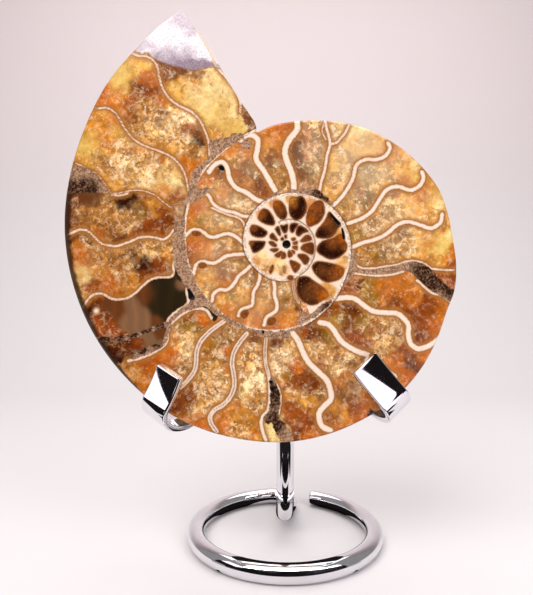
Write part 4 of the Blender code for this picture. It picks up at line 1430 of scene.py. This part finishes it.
def rounded_section():
    """Corners of the strip's section, as shares of its half width and half thickness."""
    half_w, half_t = 0.5 * STRIP_WIDTH, 0.5 * STRIP_THICKNESS
    corners = []
    for cx, cy, start in ((1, 1, 0), (-1, 1, 90), (-1, -1, 180), (1, -1, 270)):
        for step in range(6):
            angle = math.radians(start + 18 * step)
            corners.append(((cx * (half_w - STRIP_ROUND) + STRIP_ROUND * math.cos(angle)) / half_w,
                            (cy * (half_t - STRIP_ROUND) + STRIP_ROUND * math.sin(angle)) / half_t))
    return corners


def strip_stations(hook):
    """Rounded sections of the strip along one leg, each from its front face's inner edge on."""
    line = strip_line(hook)
    stations = []
    for number, (centre, across) in enumerate(line):
        before, after = line[max(number - 1, 0)][0], line[min(number + 1, len(line) - 1)][0]
        along = (after - before).normalized()
        across = (across - along * across.dot(along)).normalized()
        outward = along.cross(across) * hook["side"]
        for size, shift in LIP_END if number == len(line) - 1 else ((1.0, 0.0),):
            half_w = across * (0.5 * STRIP_WIDTH * size)
            half_t = outward * (0.5 * STRIP_THICKNESS * size)
            stations.append([centre + along * shift + half_w * w + half_t * t
                             for w, t in rounded_section()])
    return stations


def build_cradle():
    left_heading, right_heading = leg_heading(LEFT_HOOK), leg_heading(RIGHT_HOOK)
    half_turn = math.radians(0.5 * (TURN - right_heading - (180 - left_heading)))
    tilt = math.radians(0.5 * (left_heading + right_heading - 540))
    mitre = 0.5 * STRIP_WIDTH / math.cos(half_turn)
    down = Vector((math.sin(tilt), 0, -math.cos(tilt)))
    front = Vector((0, -0.5 * STRIP_THICKNESS, 0))
    corner = [APEX + down * (mitre * w) + front * t for w, t in rounded_section()]
    left, right = strip_stations(LEFT_HOOK), strip_stations(RIGHT_HOOK)
    return sweep("chrome_strip", [*reversed(left), corner, *right])


def keep_inside(piece, node):
    """Holds the piece to the box of the solid it stands for."""
    low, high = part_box(node)
    for vertex in piece.data.vertices:
        for axis in range(3):
            vertex.co[axis] = min(max(vertex.co[axis], low[axis]), high[axis])


# Studio, in the design's millimetres.
FLOOR_FRONT, FLOOR_BACK, BEND, WALL_TOP = -900.0, 260.0, 240.0, 1200.0
SWEEP_STEPS = 16
HALF_STAGE = 1300.0
PAPER_LOW = (0.76, 0.725, 0.735)
# Painted shade: the paper a little darker and pinker up the wall.
PAPER_WALL_SHADE = (0.76, 0.665, 0.67)
DARK = (0.012, 0.010, 0.011)
PALE = (1.0, 0.98, 0.99)
SILVER = (0.86, 0.81, 0.90)
# Cards that only reflections see: name, x, y, z, colour and glow. The single number is the plane.
CARDS = (
    ("dark_card", (-420, 420), -198, (0.4, 232), DARK, 0.0),
    ("ground_front", (-130, 130), (-197, -72), 0.4, DARK, 0.0),
    ("ground_left", (-110, -52), (-72, -28), 0.4, DARK, 0.0),
    ("ground_right", (52, 98), (-72, -28), 0.4, DARK, 0.0),
    ("ground_inside", (-22, 22), (-26, -13), 0.4, DARK, 0.0),
    ("ground_behind", (-24, 24), (6, 26), 0.4, DARK, 0.0),
    ("dark_bar", (-34, 34), -41, (6.4, 15), DARK, 0.0),
    ("dark_bar_inside", (-17, 17), -26.5, (0.4, 11.5), DARK, 0.0),
    ("dark_left", -100, (-82, -36), (14, 54), DARK, 0.0),
    ("bright_left", -100, (-100, -40), (54, 95), SILVER, 0.95),
    ("bright_right", (20, 63.5), -80, (30, 75), SILVER, 0.95),
    ("bright_low_right", (63.5, 95), -80, (20, 46), SILVER, 0.95),
    ("bright_card", (-240, 240), -205, (236, 560), PALE, 10.0),
)
# Lights: name, place, target, size, watts and colour.
LIGHTS = (
    ("key", (-260, -420, 560), (0, 0, 90), (420, 420), 3.2, (1.0, 0.98, 0.97)),
    ("fill", (380, -380, 330), (0, 0, 90), (380, 380), 1.6, (1.0, 0.98, 0.99)),
    ("above", (0, 120, 620), (0, 60, 0), (700, 500), 2.0, (1.0, 1.0, 1.0)),
)
AIR_COLOUR = (1.0, 0.97, 0.96, 1)
AIR_STRENGTH = 0.3
SENSOR_WIDTH = 36.0


def plain_material(name, colour, emission):
    p = Paint(name)
    p.set("Base Color", (*colour, 1))
    p.set("Roughness", 1.0)
    p.set("Specular IOR Level", 0.0)
    if emission:
        p.set("Emission Color", (*colour, 1))
        p.set("Emission Strength", emission)
    return p.material


def paper_material():
    """Pale paper, with painted shade: a little darker and pinker up the wall."""
    p = Paint("studio_paper")
    height = p.node("ShaderNodeSeparateXYZ", {0: p.place()}).outputs[2]
    p.set("Base Color", p.mix(p.ease(height, 20.0, 420.0), PAPER_LOW, PAPER_WALL_SHADE))
    p.set("Roughness", 0.95)
    return p.material


def flat_piece(name, corners, faces, material):
    mesh = bpy.data.meshes.new(name)
    mesh.from_pydata([tuple(Vector(corner) * MM + ORIGIN) for corner in corners], [], faces)
    mesh.materials.append(material)
    return linked(name, mesh)


def add_sweep():
    """Floor and wall in one sheet, bent where they meet."""
    profile = [(FLOOR_FRONT, 0.0), (FLOOR_BACK, 0.0)]
    for i in range(1, SWEEP_STEPS + 1):
        angle = 0.5 * math.pi * i / SWEEP_STEPS
        profile.append((FLOOR_BACK + BEND * math.sin(angle), BEND * (1 - math.cos(angle))))
    profile.append((FLOOR_BACK + BEND, WALL_TOP))
    corners = [(x, y, z) for y, z in profile for x in (-HALF_STAGE, HALF_STAGE)]
    faces = [(k, k + 1, k + 3, k + 2) for k in range(0, 2 * len(profile) - 2, 2)]
    sheet = flat_piece("studio_sweep", corners, faces, paper_material())
    sheet.data.shade_smooth()


def add_card(name, *sides, colour, emission):
    corners = []
    for ends in ((0, 0), (1, 0), (1, 1), (0, 1)):
        pick = iter(ends)
        corners.append([side[next(pick)] if isinstance(side, tuple) else side for side in sides])
    card = flat_piece(name, corners, [(0, 1, 2, 3)], plain_material(name, colour, emission))
    card.visible_camera = card.visible_diffuse = card.visible_shadow = False
    card.visible_transmission = card.visible_volume_scatter = False


def add_light(name, place, target, size, watts, colour):
    data = bpy.data.lights.new(name, "AREA")
    data.shape = "RECTANGLE"
    data.size, data.size_y = size[0] * MM, size[1] * MM
    data.energy = watts
    data.color = colour
    light = linked(name, data)
    place, target = Vector(place), Vector(target)
    light.location = place * MM + ORIGIN
    light.rotation_euler = (target - place).to_track_quat("-Z", "Y").to_euler()


def add_camera():
    data = bpy.data.cameras.new("photo_camera")
    data.sensor_width = SENSOR_WIDTH
    data.lens = FOCAL_PIXELS * SENSOR_WIDTH / max(PHOTO_SIZE)
    data.clip_start = 5 * MM
    camera = linked("photo_camera", data)
    camera.location = CAMERA * MM + ORIGIN
    camera.rotation_euler = (math.radians(90), 0, 0)
    bpy.context.scene.camera = camera


def add_air():
    world = bpy.data.worlds.new("studio_air")
    world.use_nodes = True
    air = world.node_tree.nodes["Background"]
    air.inputs["Color"].default_value = AIR_COLOUR
    air.inputs["Strength"].default_value = AIR_STRENGTH
    bpy.context.scene.world = world
    bpy.context.scene.view_settings.view_transform = "Standard"


def main():
    stone, chrome = stone_material(), chrome_material()
    for piece, node, material, slot in (
        (build_ammonite(), "ammonite_half", stone, "polished_fossil"),
        (build_rod(), "stand_rod", chrome, "chrome"),
        (build_cradle(), "stand_cradle", chrome, "chrome"),
    ):
        piece.data.materials.append(material)
        keep_inside(piece, node)
        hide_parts(node)
        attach(piece, "root")

    add_sweep()
    for name, x, y, z, colour, emission in CARDS:
        add_card(name, x, y, z, colour=colour, emission=emission)
    for light in LIGHTS:
        add_light(*light)
    add_air()
    add_camera()


main()
